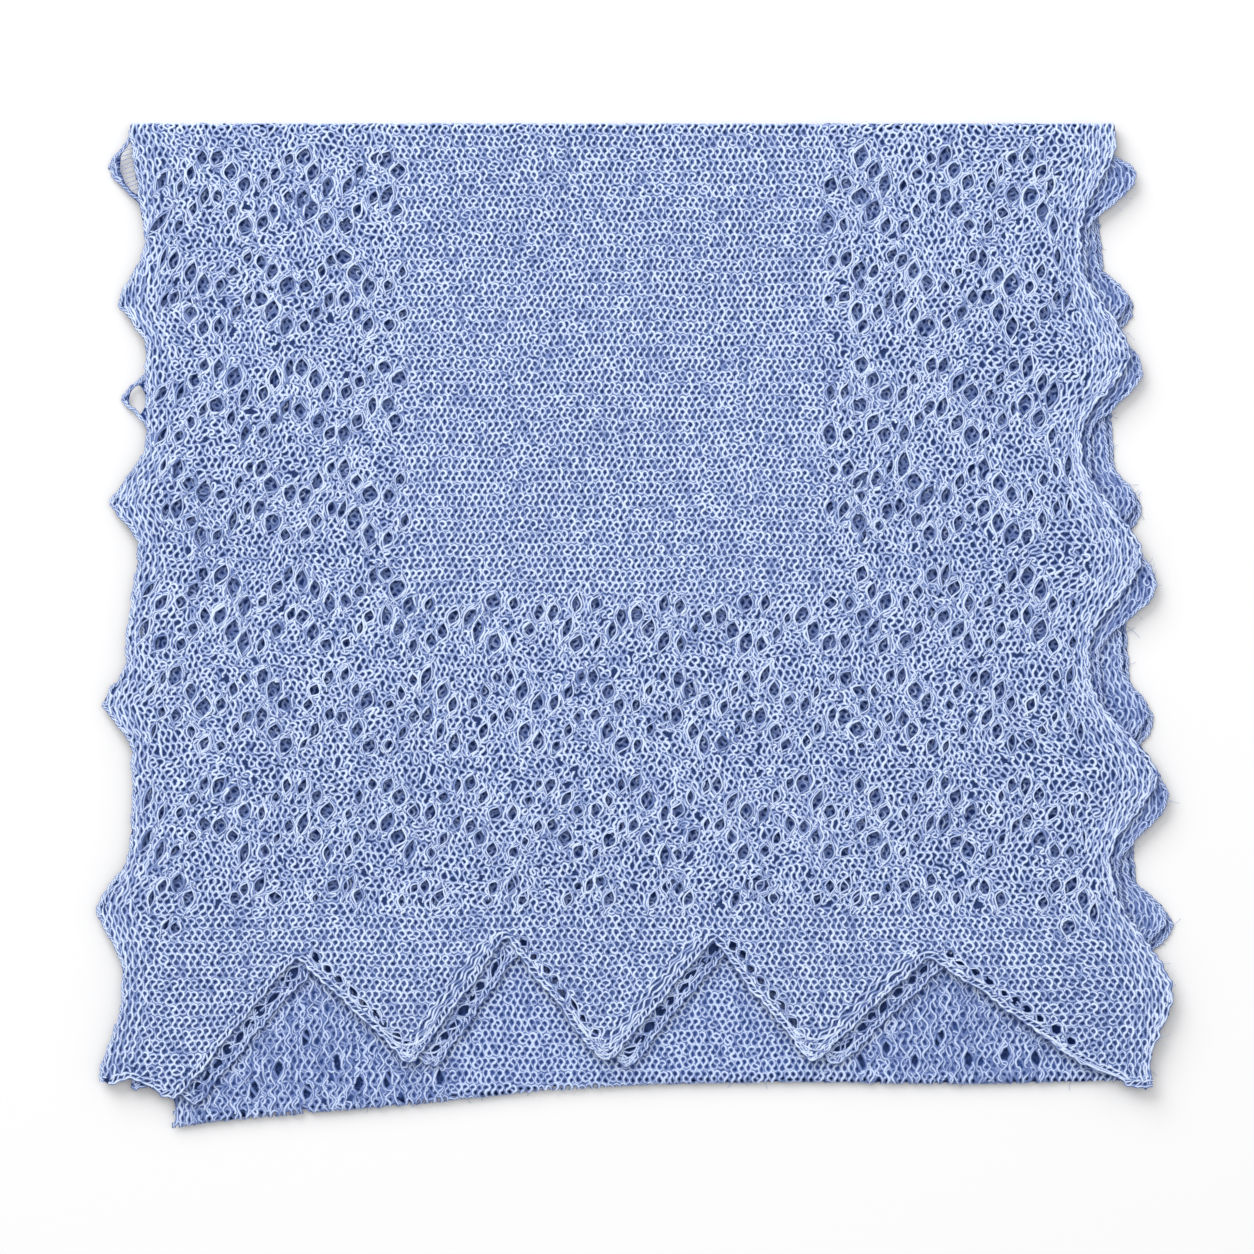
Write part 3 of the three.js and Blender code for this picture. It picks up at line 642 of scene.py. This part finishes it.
def cloth_mesh(name, outline, eyelets, place, net_shade_share=lace_share, step=6.0, sides=12):
    """A thin wall of cloth, cut flat with its eyelets and laid in space by place()."""
    low, high = outline.min(axis=0), outline.max(axis=0)
    gx, gy = np.meshgrid(np.arange(low[0], high[0], step), np.arange(low[1], high[1], step * 0.87))
    gx = gx + (np.arange(gx.shape[0]) % 2)[:, None] * step / 2
    gx, gy = gx.ravel(), gy.ravel()
    free = inside(outline, gx, gy) & (distance_to(outline, gx, gy) > 0.45 * step)
    for e in eyelets:
        close = np.hypot(gx - e.x, gy - e.y) < 1.7 * max(e.half_x, e.half_y)
        free[close] &= offsets(e, gx[close], gy[close])[0] > 1.6
    angles = np.arange(sides) * 2 * math.pi / sides
    a, b = np.sin(angles), np.cos(angles)
    loops = [np.stack(back(e, a / round_of(a, b), b / round_of(a, b)), axis=1) for e in eyelets]
    rims = [outline, *loops]
    edges, start = [], 0
    for rim in rims:
        n = len(rim)
        edges += [(start + k, start + (k + 1) % n) for k in range(n)]
        start += n
    flat = np.concatenate([*rims, np.stack([gx[free], gy[free]], axis=1)])
    made = delaunay_2d_cdt([tuple(p) for p in flat], edges, [], 0, 1e-5, False)
    flat, triangles = np.array([tuple(p) for p in made[0]]), np.array([tuple(f) for f in made[2]])
    middle = flat[triangles].mean(axis=1)
    cut = inside(outline, middle[:, 0], middle[:, 1])
    for e in eyelets:
        close = np.hypot(middle[:, 0] - e.x, middle[:, 1] - e.y) < 1.2 * max(e.half_x, e.half_y)
        cut[close] &= offsets(e, middle[close, 0], middle[close, 1])[0] > 0.95
    triangles = triangles[cut]
    points, up = place(flat[:, 0], flat[:, 1], -GROUND_SINK)
    both = np.concatenate([points, points - up * GROUND_THICKNESS])
    n = len(points)
    sides_of = np.concatenate([triangles[:, [0, 1]], triangles[:, [1, 2]], triangles[:, [2, 0]]])
    keys = sides_of[:, 0] * n + sides_of[:, 1]
    twins = sides_of[:, 1] * n + sides_of[:, 0]
    rim = sides_of[~np.isin(keys, twins)]
    a, b = rim[:, 0], rim[:, 1]
    walls = np.concatenate([np.stack([a, a + n, b], axis=1), np.stack([b, a + n, b + n], axis=1)])
    # The lace value marks where the ground's net gets painted shade.
    lace = np.tile(net_shade_share(flat[:, 0], flat[:, 1]), 2)
    return make_mesh(name, both, np.concatenate([triangles, triangles[:, ::-1] + n, walls]), lace=lace)


top_mesh = cloth_mesh("top_cloth", top_outline, eyelets, on_layer(top_layer))
top_cloth = add_piece(top_mesh, top_ground)
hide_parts("top_end")

# The stitches of the first end
# Garter stitch: each ridge of yarn winds up and down between the ridges next to it, so that heads
# and feet of its loops lock into them, and a dark gap shows in each loop.
STITCH = 2.64
RIDGE = 4.96
LOOP_HALF = 2.5
LOOP_BULGE = 2.36
LOOP_ROUND = 0.18
LOOP_TURNS = (-0.28, -0.14, 0.0, 0.14, 0.28, 0.42, 0.58, 0.72, 0.86, 1.0, 1.14, 1.28)
STRAND_HALF = 0.7
STRAND_HEIGHT = 0.5


def wander(x, y):
    """A slow unevenness of the knitting, in millimetres."""
    dx = (0.7 * np.sin(0.051 * x + 0.093 * y + 1.3) + 0.5 * np.sin(0.17 * x - 0.12 * y)
          + 0.35 * np.sin(0.33 * x + 0.29 * y + 2.0))
    dy = (0.8 * np.sin(0.083 * x - 0.041 * y + 0.4) + 0.5 * np.sin(0.21 * x + 0.14 * y + 1.0)
          + 0.35 * np.sin(0.37 * x - 0.31 * y))
    share = 0.3 + 0.7 * lace_share(x, y)
    return dx * share, dy * share


def follow_edges(left, right, u, y, left_at, right_at, depth=50.0, share=0.45):
    """Bends columns of stitches with the side lines, and partly out over the points of the edging."""
    y = np.minimum(y, FOLD_Y)
    lines = [line_x(left, y), line_x(right, y)]
    bulges = [edge_x(left, y) - lines[0], edge_x(right, y) - lines[1]]
    x = lines[0] + (u - left_at) * (lines[1] - lines[0]) / (right_at - left_at)
    from_left, from_right = 1 - ease((u - left_at) / depth), 1 - ease((right_at - u) / depth)
    return x + share * (bulges[0] * from_left + bulges[1] * from_right)


def knit_ridges(left, right, left_at, right_at, rows, stitch, ridge, edge_stretch=0.35, over=15.0):
    """Flat paths of all ridges of a panel; over is how far they run on past its side lines."""
    stitches = int((right_at - left_at + 2 * over) / stitch)
    turns = (np.arange(stitches)[:, None] * 2 + np.array(LOOP_TURNS)).ravel()
    at_stitch = np.repeat(np.arange(stitches), len(LOOP_TURNS))
    t = turns * math.pi
    halves = chance.normal(0, 1, (6, len(rows), stitches * 2 + 3))
    whole = np.floor(turns + 1).astype(int)
    part = ease(turns + 1 - whole)
    loose = halves[:, :, whole] * (1 - part) + halves[:, :, whole + 1] * part
    base = left_at - over + t / (2 * math.pi) * stitch
    loose[:4] *= 0.85 + 0.5 * lace_share(base, rows[:, None])
    near_side = np.maximum(ease(1 - (base - left_at) / 16), ease(1 - (right_at - base) / 16))
    bulge = LOOP_BULGE * (1 - 0.4 * near_side) * (1 + 0.15 * loose[0])
    u = base + stitch / (2 * math.pi) * bulge * np.sin(2 * t) + 0.2 * loose[1]
    half = LOOP_HALF * ridge / RIDGE * (1 + edge_stretch * near_side) * (1 + 0.1 * loose[2])
    wave = (np.cos(t) + LOOP_ROUND * np.cos(3 * t)) / (1 + LOOP_ROUND)
    y = rows[:, None] + half * wave + 0.3 * loose[3] + 0.3 * chance.normal(0, 1, stitches)[at_stitch]
    dx, dy = wander(u, y)
    quiet = 1 - 0.5 * near_side
    x = follow_edges(left, right, u + dx * quiet, y, left_at, right_at)
    turned = np.sin(t) * np.clip(0.8 + 0.9 * loose[5], -1, 1)
    lift = 0.26 * turned + 0.06 * loose[0]
    # Loops that turn up are painted lighter and those that dip get painted shade, along with a random tone.
    tone = 0.6 * turned + 0.26 * loose[4] - 0.1
    return x, y + dy * quiet, lift, tone


def stretches(seen):
    """Which stretches of strands stay: those with both of their ends in sight."""
    return seen[:, 1:] & seen[:, :-1]


def knit_panel(strands, layer, paths, eyelets, outline, edging, flanks=(), allowed=None, under=None):
    """Lays a panel's ridges, round its eyelets, within its outline and clear of its edging."""
    x, y, lift, tone = paths
    x, y, core = make_way(eyelets, x, y)
    within = inside(outline, x, y) & (distance_to(outline, x, y) > 0.7) & ~core
    within &= distance_to(edging, x, y, closed=False) > 2.6
    for flank in flanks:
        within &= distance_to(flank, x, y, closed=False) > 7.0
    if allowed is not None:
        within &= allowed(x, y)
    mx, my = (x[:, 1:] + x[:, :-1]) / 2, (y[:, 1:] + y[:, :-1]) / 2
    keep = stretches(within) & ~in_eyelets(eyelets, mx, my, 0.8, 5)
    # Strands under the piece above get painted shade.
    if under is not None:
        tone = tone - 0.75 * inside(under, x, y)
    middle, up = lay(layer, x, y, 0.42 + lift)
    strands.add(middle, up, STRAND_HALF, STRAND_HEIGHT, tone, keep)


def flank_line(k):
    """The flank of the teeth from one corner to the next, without its very ends."""
    start, end = (np.array(TEETH[k + j][:2]) for j in (0, 1))
    return spaced([start * 0.96 + end * 0.04, start * 0.04 + end * 0.96], 1.2)


top_rows = np.arange(-188.0, far_end(top_layer), RIDGE)
LEFT_AT, RIGHT_AT = -199.0, 184.0
bands = [("near", -400.0, -82.0), ("middle", -82.0, 12.0), ("back", 12.0, 106.0), ("far", 106.0, 400.0)]
for band, low, high in bands:
    strands = Strands()
    rows = top_rows[(top_rows >= low) & (top_rows < high)]
    paths = knit_ridges(TOP_LEFT, TOP_RIGHT, LEFT_AT, RIGHT_AT, rows, STITCH, RIDGE)
    knit_panel(strands, top_layer, paths, eyelets + parted, top_outline, top_near,
               [flank_line(k)[:-7] for k in RISING_FROM])
    strands.piece(f"top_stitches_{band}", top_wool, "wool_top")

# The rims of the eyelets and the cords of the edging
# Round each eyelet the yarn draws together into a rim. The edging is bound off with two cords of yarn,
# with short rungs between them, and more cords run up the rising flanks of its teeth.


def add_rims(strands, layer, eyelets, outline, lift=0.7):
    """Two strands round each eyelet, which cross above and below it, and run on a little way."""
    b = np.linspace(-1.9, 1.9, 13)
    past_rim = np.clip(np.abs(b) - 1.25, 0, 1)
    bow = 1.14 * np.cos(math.pi / 2 * np.clip(np.abs(b) / 1.25, 0, 1)) - 0.5 * past_rim
    x, y = np.empty((2 * len(eyelets), len(b))), np.empty((2 * len(eyelets), len(b)))
    for k, e in enumerate(eyelets):
        for side, row in ((-1, 2 * k), (1, 2 * k + 1)):
            loose = chance.normal(0, 1, 3)
            bowed = side * bow * (1 + 0.1 * loose[0]) + 0.1 * loose[1] * np.sin(2.2 * b)
            x[row], y[row] = back(e, bowed, b * (1 + 0.1 * loose[2]))
    rise = 0.12 * np.sin(2.6 * b) * np.where(np.arange(len(x)) % 2, 1, -1)[:, None]
    middle, up = lay(layer, x, y, lift + rise)
    tone = 0.05 + 0.5 * chance.normal(0, 1, (len(x), 1)) - 0.5 * np.clip(np.abs(b) - 1, 0, 1)
    within = inside(outline, x, y) & (distance_to(outline, x, y) > 0.5)
    strands.add(middle, up, 0.42, 0.4, tone, stretches(within))


CORD_STEP = 0.8
CORD_LIFT = 0.55
UNDER_EDGE = 2.0


def beyond(outline, x, y):
    """Which points lie past the edge of the piece above, or only just under it."""
    return ~inside(outline, x, y) | (distance_to(outline, x, y) < UNDER_EDGE)


def past(under, x, y):
    """Which stretches of a strand lie past the edge of the piece above; all if there is none."""
    return None if under is None else stretches(beyond(under, x, y))


def add_cords(strands, place, line, insets, plies=2, half=0.46, sway=0.5, turn=4.3, under=None):
    """Cords beside a line that runs counter-clockwise: one wavy strand, or two wound round each other."""
    line = spaced(line, CORD_STEP)
    inward = normals_of(line)
    for inset in insets:
        around = np.arange(len(line)) * CORD_STEP / turn * 2 * math.pi + 0.9 * drift(len(line), 6)[0]
        around = around + 2 * math.pi * chance.random()
        middle_line = inset + 0.25 * drift(len(line), 5)[0]
        for way in (1, -1)[:plies]:
            flat = line + inward * (middle_line + way * sway * np.sin(around))[:, None]
            x, y = flat[None, :, 0], flat[None, :, 1]
            rise = CORD_LIFT + 0.15 * way * np.cos(around) + 0.05 * drift(len(line), 3)[0]
            middle, up = place(x, y, rise[None])
            # The ply on top of the twist is painted lighter and the ply beneath it gets painted shade.
            tone = 0.1 + 0.4 * way * np.cos(around) + 0.4 * drift(len(line), 3)
            strands.add(middle, up, half, 0.5, tone, past(under, x, y))


def add_rungs(strands, place, line, low, high, every, under=None):
    """Short slanting strands between two cords beside a line, like the links of a chain."""
    line = spaced(line, CORD_STEP)
    inward = normals_of(line)
    starts = np.arange(2, len(line) - 4, max(2, int(round(every / CORD_STEP))))
    t = np.linspace(0, 1, 5)[:, None]
    flat = line[starts][:, None] * (1 - t) + line[starts + 2][:, None] * t
    flat = flat + inward[starts][:, None] * (low + (high - low) * t)
    x, y = flat[..., 0], flat[..., 1]
    middle, up = place(x, y, 0.45 + 0.15 * np.sin(math.pi * t[:, 0]) + 0 * x)
    strands.add(middle, up, 0.44, 0.4, 0.1 + 0.4 * chance.normal(0, 1, (len(starts), 1)), past(under, x, y))


def add_fans(strands, place, corners, tips, reaches):
    """Strands that run down one flank of a tooth, round its tip and up the other flank."""
    for k in tips:
        tip = np.array(corners[k][:2])
        ways = [np.array(corners[j][:2]) - tip for j in (k - 1, k + 1)]
        ways = [way / np.linalg.norm(way) for way in ways]
        inner = (ways[0] + ways[1]) / 2
        for reach in reaches:
            t = np.linspace(0, 1, 12)[:, None]
            start, end = (tip + way * reach * 1.5 + inner * reach * 0.5 for way in ways)
            middle = tip + inner * reach * 0.15
            flat = (1 - t) ** 2 * start + 2 * t * (1 - t) * middle + t * t * end
            flat = flat + 0.3 * drift(12, 2, 2).T
            middle, up = place(flat[None, :, 0], flat[None, :, 1], 0.62 + 0.12 * drift(12, 2))
            strands.add(middle, up, 0.48, 0.45, 0.2 + 0.8 * drift(12, 2))


def side_line(edge, low, high):
    y = np.arange(low, high, 1.5) if edge.side > 0 else np.arange(high, low, -1.5)
    return np.stack([edge_x(edge, y), y], axis=1)


SIDE_FROM = -183.0

strands = Strands()
place = on_layer(top_layer)
add_rims(strands, top_layer, eyelets, top_outline)
add_cords(strands, place, top_near, [0.5, 2.5], plies=1, half=0.66, sway=0.22)
add_rungs(strands, place, top_near, 0.5, 2.5, 2.4)
for k in RISING_FROM:
    add_cords(strands, place, flank_line(k), [4.0, 5.4, 6.8], plies=1, half=0.62, turn=6.4)
add_fans(strands, place, TEETH, TIPS, (4.0, 6.0, 8.4, 11.0, 14.0))
add_cords(strands, place, side_line(TOP_RIGHT, SIDE_FROM, FOLD_Y), [0.5, 2.1], plies=1, half=0.6, sway=0.25)
add_cords(strands, place, side_line(TOP_LEFT, SIDE_FROM, FOLD_Y), [0.5])
strands.piece("top_rims_and_cords", top_wool, "wool_top")

# The second end
# It is knitted as the first one is, and lies just under it, a little to the right. It shows along the
# rising flanks of the teeth, in the points of its side edging, and through the eyelets above it.
SECOND_LEFT = Edge(-1, [(198, -200), (150, -192.5), (74, -193.0), (22, -196.5), (-64, -196.5), (-145, -200),
                        (-184, -201)], [
    Point(183.6, 13.2, 16.0, 22.0),
    Point(90.8, 12.4, 16.0, 15.0),
    Point(9.0, 2.0, 18.0, 16.0),
    Point(-73.0, 2.0, 18.0, 16.0),
])
SECOND_RIGHT = Edge(1, [(198, 180.4), (78, 182.4), (-15.6, 186.0), (-97.6, 194.0), (-184.4, 205.0)], [
    Point(180.4, 20.4, 17.0, 24.0),
    Point(102.4, 21.4, 30.0, 28.0),
    Point(17.2, 24.4, 34.0, 30.0),
    Point(-67.6, 22.6, 34.0, 30.0),
    Point(-152.0, 10.0, 34.0, 30.0),
], 0.0)
SECOND_SHIFT = (8.8, -1.6)
SECOND_CORNER = (205.0, -185.4)
# Painted shade in the second end's gaps; its wool and the painted highlight on its crests are dimmed by
# painted shade, as it lies under the first.
UNDER_GAP_SHADE = (0.018, 0.04, 0.16, 1.0)
LOWER_SHADED_BLUE = (0.15, 0.215, 0.46, 1.0)
LOWER_CREST_HIGHLIGHT = (0.6, 0.705, 0.93, 1.0)
MARGIN_FROM = (165.0, -160.0)
MARGIN_SHADE = 0.25
second_wool = strand_wool("wool_second_strands", FLANK_SHADE_BLUE, LOWER_SHADED_BLUE, LOWER_CREST_HIGHLIGHT)
second_ground = ground_wool("wool_second_ground", UNDER_GAP_SHADE, FLANK_SHADE_BLUE, LOWER_SHADED_BLUE, 0.5, -0.5)

second_layer = Layer(2, 1, SECOND_LEFT, 13.0)
second_teeth = [Corner(c.x + SECOND_SHIFT[0], c.y + SECOND_SHIFT[1], c.round) for c in TEETH[:-1]]
second_start = (second_teeth[0].x - 5, second_teeth[0].y + 4)
second_near = ragged(round_corners(second_teeth, second_start, SECOND_CORNER))
second_outline = panel_outline(SECOND_LEFT, SECOND_RIGHT, second_near, far_end(second_layer))

second_eyelets = flank_eyelets((3, *RISING_FROM), 4.6, 6.8, 1.8, 3.0, SECOND_SHIFT)
tip_loops = [Eyelet(-199.4, 183.6, 6.6, 11.6, -0.15), Eyelet(-198.8, 90.4, 3.6, 6.4, 0.0)]

place = on_layer(second_layer)
# Where the first end covers it, the second end's ground net gets painted shade.
second_mesh = cloth_mesh("second_cloth", second_outline, second_eyelets + tip_loops, place,
                         lambda x, y: 1.0 * inside(top_outline, x, y))
second_cloth = add_piece(second_mesh, second_ground)
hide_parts("second_end")


def seen_past_top(x, y):
    """Where the first end leaves the layers below in sight: past its edges and in its eyelets."""
    shown = beyond(top_outline, x, y) | in_eyelets(eyelets, x, y, 1.35, 7)
    for e in tip_loops:
        shown &= offsets(e, x, y)[0] > 1.1
    return shown


def margin_shade(x, y):
    """How much darker the lower layers' points are past the right side."""
    return MARGIN_SHADE * ((x > MARGIN_FROM[0]) & (y > MARGIN_FROM[1]))


strands = Strands()
rows = np.arange(-190.0, far_end(second_layer), RIDGE)
x, y, lift, tone = knit_ridges(SECOND_LEFT, SECOND_RIGHT, -200.0, 196.0, rows, STITCH * 1.15, RIDGE)
tone = tone - margin_shade(x, y) * ~inside(top_outline, x, y)
knit_panel(strands, second_layer, (x, y, lift, tone), second_eyelets, second_outline, second_near,
           allowed=seen_past_top, under=top_outline)
add_rims(strands, second_layer, second_eyelets, second_outline)
add_cords(strands, place, second_near, [0.5, 2.3], plies=1, half=0.6, sway=0.3, under=top_outline)
add_rungs(strands, place, second_near, 0.5, 2.3, 2.6, under=top_outline)
add_fans(strands, place, second_teeth, TIPS[:3], (4.0, 6.5, 9.0))

# Thin threads cross the larger of the two open loops.
for y in np.arange(172.0, 197.0, 1.9):
    x = np.linspace(-210.0, -194.0, 12)
    middle, up = lay(second_layer, x[None], (y + 0.35 * (x + 202) + 0.2 * drift(12, 3)[0])[None], 0.3)
    within = inside(second_outline, middle[..., 0], middle[..., 1])
    strands.add(middle, up, 0.14, 0.1, -0.1, stretches(within))
for edge in (SECOND_RIGHT, SECOND_LEFT):
    add_cords(strands, place, side_line(edge, SIDE_FROM, FOLD_Y), [0.5])
second_stitches = strands.piece("second_stitches", second_wool, "wool_second")

# The folded middle
# The middle of the scarf lies folded at the near edge, a little askew, and shows as the strip below
# the teeth and in the points at the right. It carries both ends, and its underside lies flat.
MIDDLE_LEFT = Edge(-1, [(198, -196), (60, -189), (-100, -187), (-202, -186)], [
    Point(60.0, 3.0, 18.0, 18.0),
    Point(-20.0, 5.0, 18.0, 18.0),
    Point(-102.0, 6.0, 18.0, 18.0),
])
MIDDLE_RIGHT = Edge(1, [(198, 182.0), (148, 187.6), (74, 191.6), (-12, 197.8), (-94, 200.0),
                        (-184.4, 206.4)], [
    Point(128.0, 11.4, 15.0, 18.0),
    Point(47.6, 9.6, 17.0, 18.0),
    Point(-37.6, 9.6, 18.0, 18.0),
    Point(-119.6, 14.0, 18.0, 18.0),
], 0.0)
THIRD_INSET = (2.4, 3.2)
THIRD_SWELL = 0.35
LOWEST_STITCH = 2.4
NEAR_FOLD = [(-183.0, -201.6), (-169.6, -199.2), (-130.0, -195.6), (-90.4, -192.4), (-36.8, -186.8),
             (8.0, -184.2), (66.4, -183.2), (130.8, -184.0), (206.0, -182.6)]
FOLD_RADIUS = LAYER / 2
MIDDLE_FAR = FOLD_Y - AIR
# Painted shade in the strip's gaps and, a little lighter, on its net.
STRIP_GAP_SHADE = (0.024, 0.05, 0.17, 1.0)
DEEP_SHADE_BLUE = (0.07, 0.12, 0.34, 1.0)
middle_wool = strand_wool("wool_middle_strands", FLANK_SHADE_BLUE, LOWER_SHADED_BLUE, LOWER_CREST_HIGHLIGHT)
middle_ground = ground_wool("wool_middle_ground", STRIP_GAP_SHADE, DEEP_SHADE_BLUE, LOWER_SHADED_BLUE, 0.3)


def fold_y(x):
    """The near fold's axis, at the middle of the cloth's turn."""
    return np.interp(x, *np.transpose(NEAR_FOLD)) + CLOTH / 2 + FOLD_RADIUS


def moved(edge, inset, rise):
    return Edge(edge.side, [(y + rise, x - edge.side * inset) for y, x in edge.line],
                [point._replace(y=point.y + rise) for point in edge.points], edge.sharp)


def lay_middle(x, s, lift):
    """s runs from the third layer's far edge, round the near fold and along the lowest layer."""
    axis = fold_y(x)
    angle = np.clip((axis - s) / FOLD_RADIUS, 0.0, math.pi)
    below = np.clip(axis - s - math.pi * FOLD_RADIUS, 0.0, None)
    lift = lift + 0.7 * ease(below / 8)
    third = s >= axis
    y = np.where(third, s, axis + below - FOLD_RADIUS * np.sin(angle))
    z = height_of(0) + FOLD_RADIUS * (1 + np.cos(angle)) + THIRD_SWELL * swell(x, s) * third
    up = np.stack([np.zeros_like(angle), -np.sin(angle), np.cos(angle)], axis=-1)
    return np.stack([x, y, z], axis=-1) + up * np.broadcast_to(lift, x.shape)[..., None], up


third_left, third_right = (moved(edge, *THIRD_INSET) for edge in (MIDDLE_LEFT, MIDDLE_RIGHT))


def lowest_s(x, y):
    return 2 * fold_y(x) - math.pi * FOLD_RADIUS - y


def middle_side(edge, third_edge):
    """One side of the whole folded stretch, from its far end on the third layer."""
    y = np.arange(MIDDLE_FAR, -184.0, -2.4)
    third = np.stack([edge_x(third_edge, y), y], axis=1)
    y = y[::-1]
    x = edge_x(edge, y)
    return np.concatenate([third, np.stack([x, lowest_s(x, y)], axis=1)])


left_side = middle_side(MIDDLE_LEFT, third_left)
right_side = middle_side(MIDDLE_RIGHT, third_right)[::-1]
lowest_x = np.linspace(left_side[-1, 0], right_side[0, 0], 80)[1:-1]
lowest_far = np.stack([lowest_x, lowest_s(lowest_x, MIDDLE_FAR)], axis=1)
middle_outline = np.concatenate([left_side, lowest_far, right_side,
                                 spaced([right_side[-1], left_side[0]], 5.0)[1:-1]])

STRIP_EYELETS = [(-152, -186), (-142, -178), (-131, -187), (-131, -166), (-119, -175), (-110, -184),
                 (-99, -182), (-79, -181), (90, -174), (101, -168), (112, -174), (123, -165),
                 (134, -174), (148, -172), (161, -173.5)]
strip_eyelets = [Eyelet(x + 0.5 * chance.normal(), y + 0.5 * chance.normal(), 1.7, 3.5,
                        0.1 + 0.12 * chance.normal()) for x, y in STRIP_EYELETS]
strip_parted = []
for left, right, bottom, share in [(-178.0, -72.0, -196.0, 0.8), (92.0, 166.0, -182.0, 0.6)]:
    strip_parted += partings(np.arange(left, right, 5.6), np.arange(bottom, -130.0, 7.0), 0.8, 2.0, share,
                             strip_eyelets)
middle_mesh = cloth_mesh("middle_cloth", middle_outline, strip_eyelets, lay_middle)
middle_cloth = add_piece(middle_mesh, middle_ground)
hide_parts("folded_middle")

FALLING_REACH = 3.2


def under_falling(x, y):
    """Which points show through the eyelets along the falling flanks of the teeth."""
    found = np.zeros(x.shape, bool)
    for e in falling_eyelets:
        found |= np.hypot(x - e.x, y - e.y) < FALLING_REACH
    return found


def seen_past_ends(x, y):
    """Where both ends leave the folded middle in sight."""
    return beyond(top_outline, x, y) & beyond(second_outline, x, y) | under_falling(x, y)


STRIP_STITCH, STRIP_RIDGE = 2.75, 5.2
STITCHED_TURN = 2.1


def on_strip(x, y, core, gap):
    """Which points of the strip's strands show, clear of its eyelets and its outline."""
    shown = seen_past_ends(x, y) & ~core & inside(middle_outline, x, y)
    return shown & (distance_to(middle_outline, x, y) > gap) & (y > fold_y(x) - STITCHED_TURN * FOLD_RADIUS)


DRAWN_OUT = [(-176.0, -74.0), (92.0, 166.0)]
strands = Strands()
rows = np.arange(-212.0, MIDDLE_FAR, STRIP_RIDGE)
x, y, lift, tone = knit_ridges(third_left, third_right, -190.0, 200.0, rows, STRIP_STITCH, STRIP_RIDGE, 0.2)
x, y, core = make_way(strip_eyelets + strip_parted, x, y)
# Strands seen through the eyelets of the falling flanks are painted dark as shade, and those at the right
# margin get painted shade.
tone = np.where(under_falling(x, y), -0.8, tone) - margin_shade(x, y)
for low, high in DRAWN_OUT:
    tone = tone - 0.45 * ((x > low) & (x < high))
middle, up = lay_middle(x, y, 0.4 + lift)
strands.add(middle, up, 0.78, STRAND_HEIGHT, tone + 0.1, stretches(on_strip(x, y, core, 0.7)))
for low, high in DRAWN_OUT:
    columns = np.arange(low, high, 3.1)[:, None]
    s = np.arange(-216.0, -126.0, 0.7)
    many = len(columns)
    phase = math.pi * np.arange(many)[:, None] + 1.1 * drift(len(s), 12, many)
    weave = 1.05 * np.sin(2 * math.pi * s / 7.4 + phase)
    x = columns + weave + 0.35 * drift(len(s), 8, many)
    x, y, core = make_way(strip_eyelets + strip_parted, x, np.broadcast_to(s, x.shape))
    middle, up = lay_middle(x, y, 0.75 + 0.15 * drift(len(s), 5, many))
    tone = 0.15 + 0.45 * drift(len(s), 5, many)
    strands.add(middle, up, 0.6, 0.6, tone, stretches(on_strip(x, y, core, 1.0)))
for edge in (third_right, third_left):
    add_cords(strands, lay_middle, side_line(edge, SIDE_FROM, MIDDLE_FAR), [0.5])


def lay_lowest(x, y, lift):
    """The upper side of the lowest layer, which shows in the points at the right."""
    up = np.broadcast_to([0.0, 0.0, 1.0], x.shape + (3,))
    return np.stack([x, y, np.broadcast_to(height_of(0) + lift, x.shape)], axis=-1), up


for edge in (MIDDLE_RIGHT, MIDDLE_LEFT):
    add_cords(strands, lay_lowest, side_line(edge, SIDE_FROM, MIDDLE_FAR), [0.5])
x, y, lift, tone = knit_ridges(MIDDLE_LEFT, MIDDLE_RIGHT, -187.0, 204.0, rows, LOWEST_STITCH, STRIP_RIDGE)
past_third = np.where(x > 0, x - edge_x(third_right, y), edge_x(third_left, y) - x) > -1.5
shown = seen_past_ends(x, y) & past_third & (y > -180) & (y < MIDDLE_FAR)
shown &= (x < edge_x(MIDDLE_RIGHT, y) - 0.8) & (x > edge_x(MIDDLE_LEFT, y) + 0.8)
middle, up = lay_lowest(x, y, 0.5 + lift)
# The lowest layer's strands get painted shade all over.
strands.add(middle, up, 0.6, STRAND_HEIGHT, tone - 0.25, stretches(shown))
middle_stitches = strands.piece("middle_stitches", middle_wool, "wool_middle")

# The halo of fibres
# Fine wool is a little hairy: single fibres of it stand out past the edges of the stack, and curl.
# They show against the table along the right side and the near fold.
strands = Strands()
near_edge = np.array([(x, y + 1.5) for x, y in NEAR_FOLD])
sides = [(TOP_RIGHT, 3), (SECOND_RIGHT, 2), (MIDDLE_RIGHT, 0)]
edges = [(spaced(side_line(edge, -180.0, FOLD_Y), 1.0), number) for edge, number in sides]
edges.append((spaced(near_edge, 1.0), 0))
for line, number in edges:
    inward = normals_of(line)
    for k in chance.integers(2, len(line) - 2, len(line) // 12):
        turn = chance.normal(0, 1.0)
        away = -inward[k] * math.cos(turn) + inward[k][::-1] * (1, -1) * math.sin(turn)
        aside = np.array([-away[1], away[0]]) * chance.normal(0, 0.5)
        t = np.linspace(0, 1, 7)[:, None]
        flat = line[k] + inward[k] + away * t * chance.uniform(2.0, 4.4) + aside * t * t * 5
        middle = np.column_stack([flat, height_of(number) + 0.4 - 0.5 * t])[None]
        up = np.broadcast_to([0.0, 0.0, 1.0], middle.shape)
        strands.add(middle, up, 0.08, 0.04, 0.3)
strands.piece("halo_of_fibres", second_wool, "wool_second")
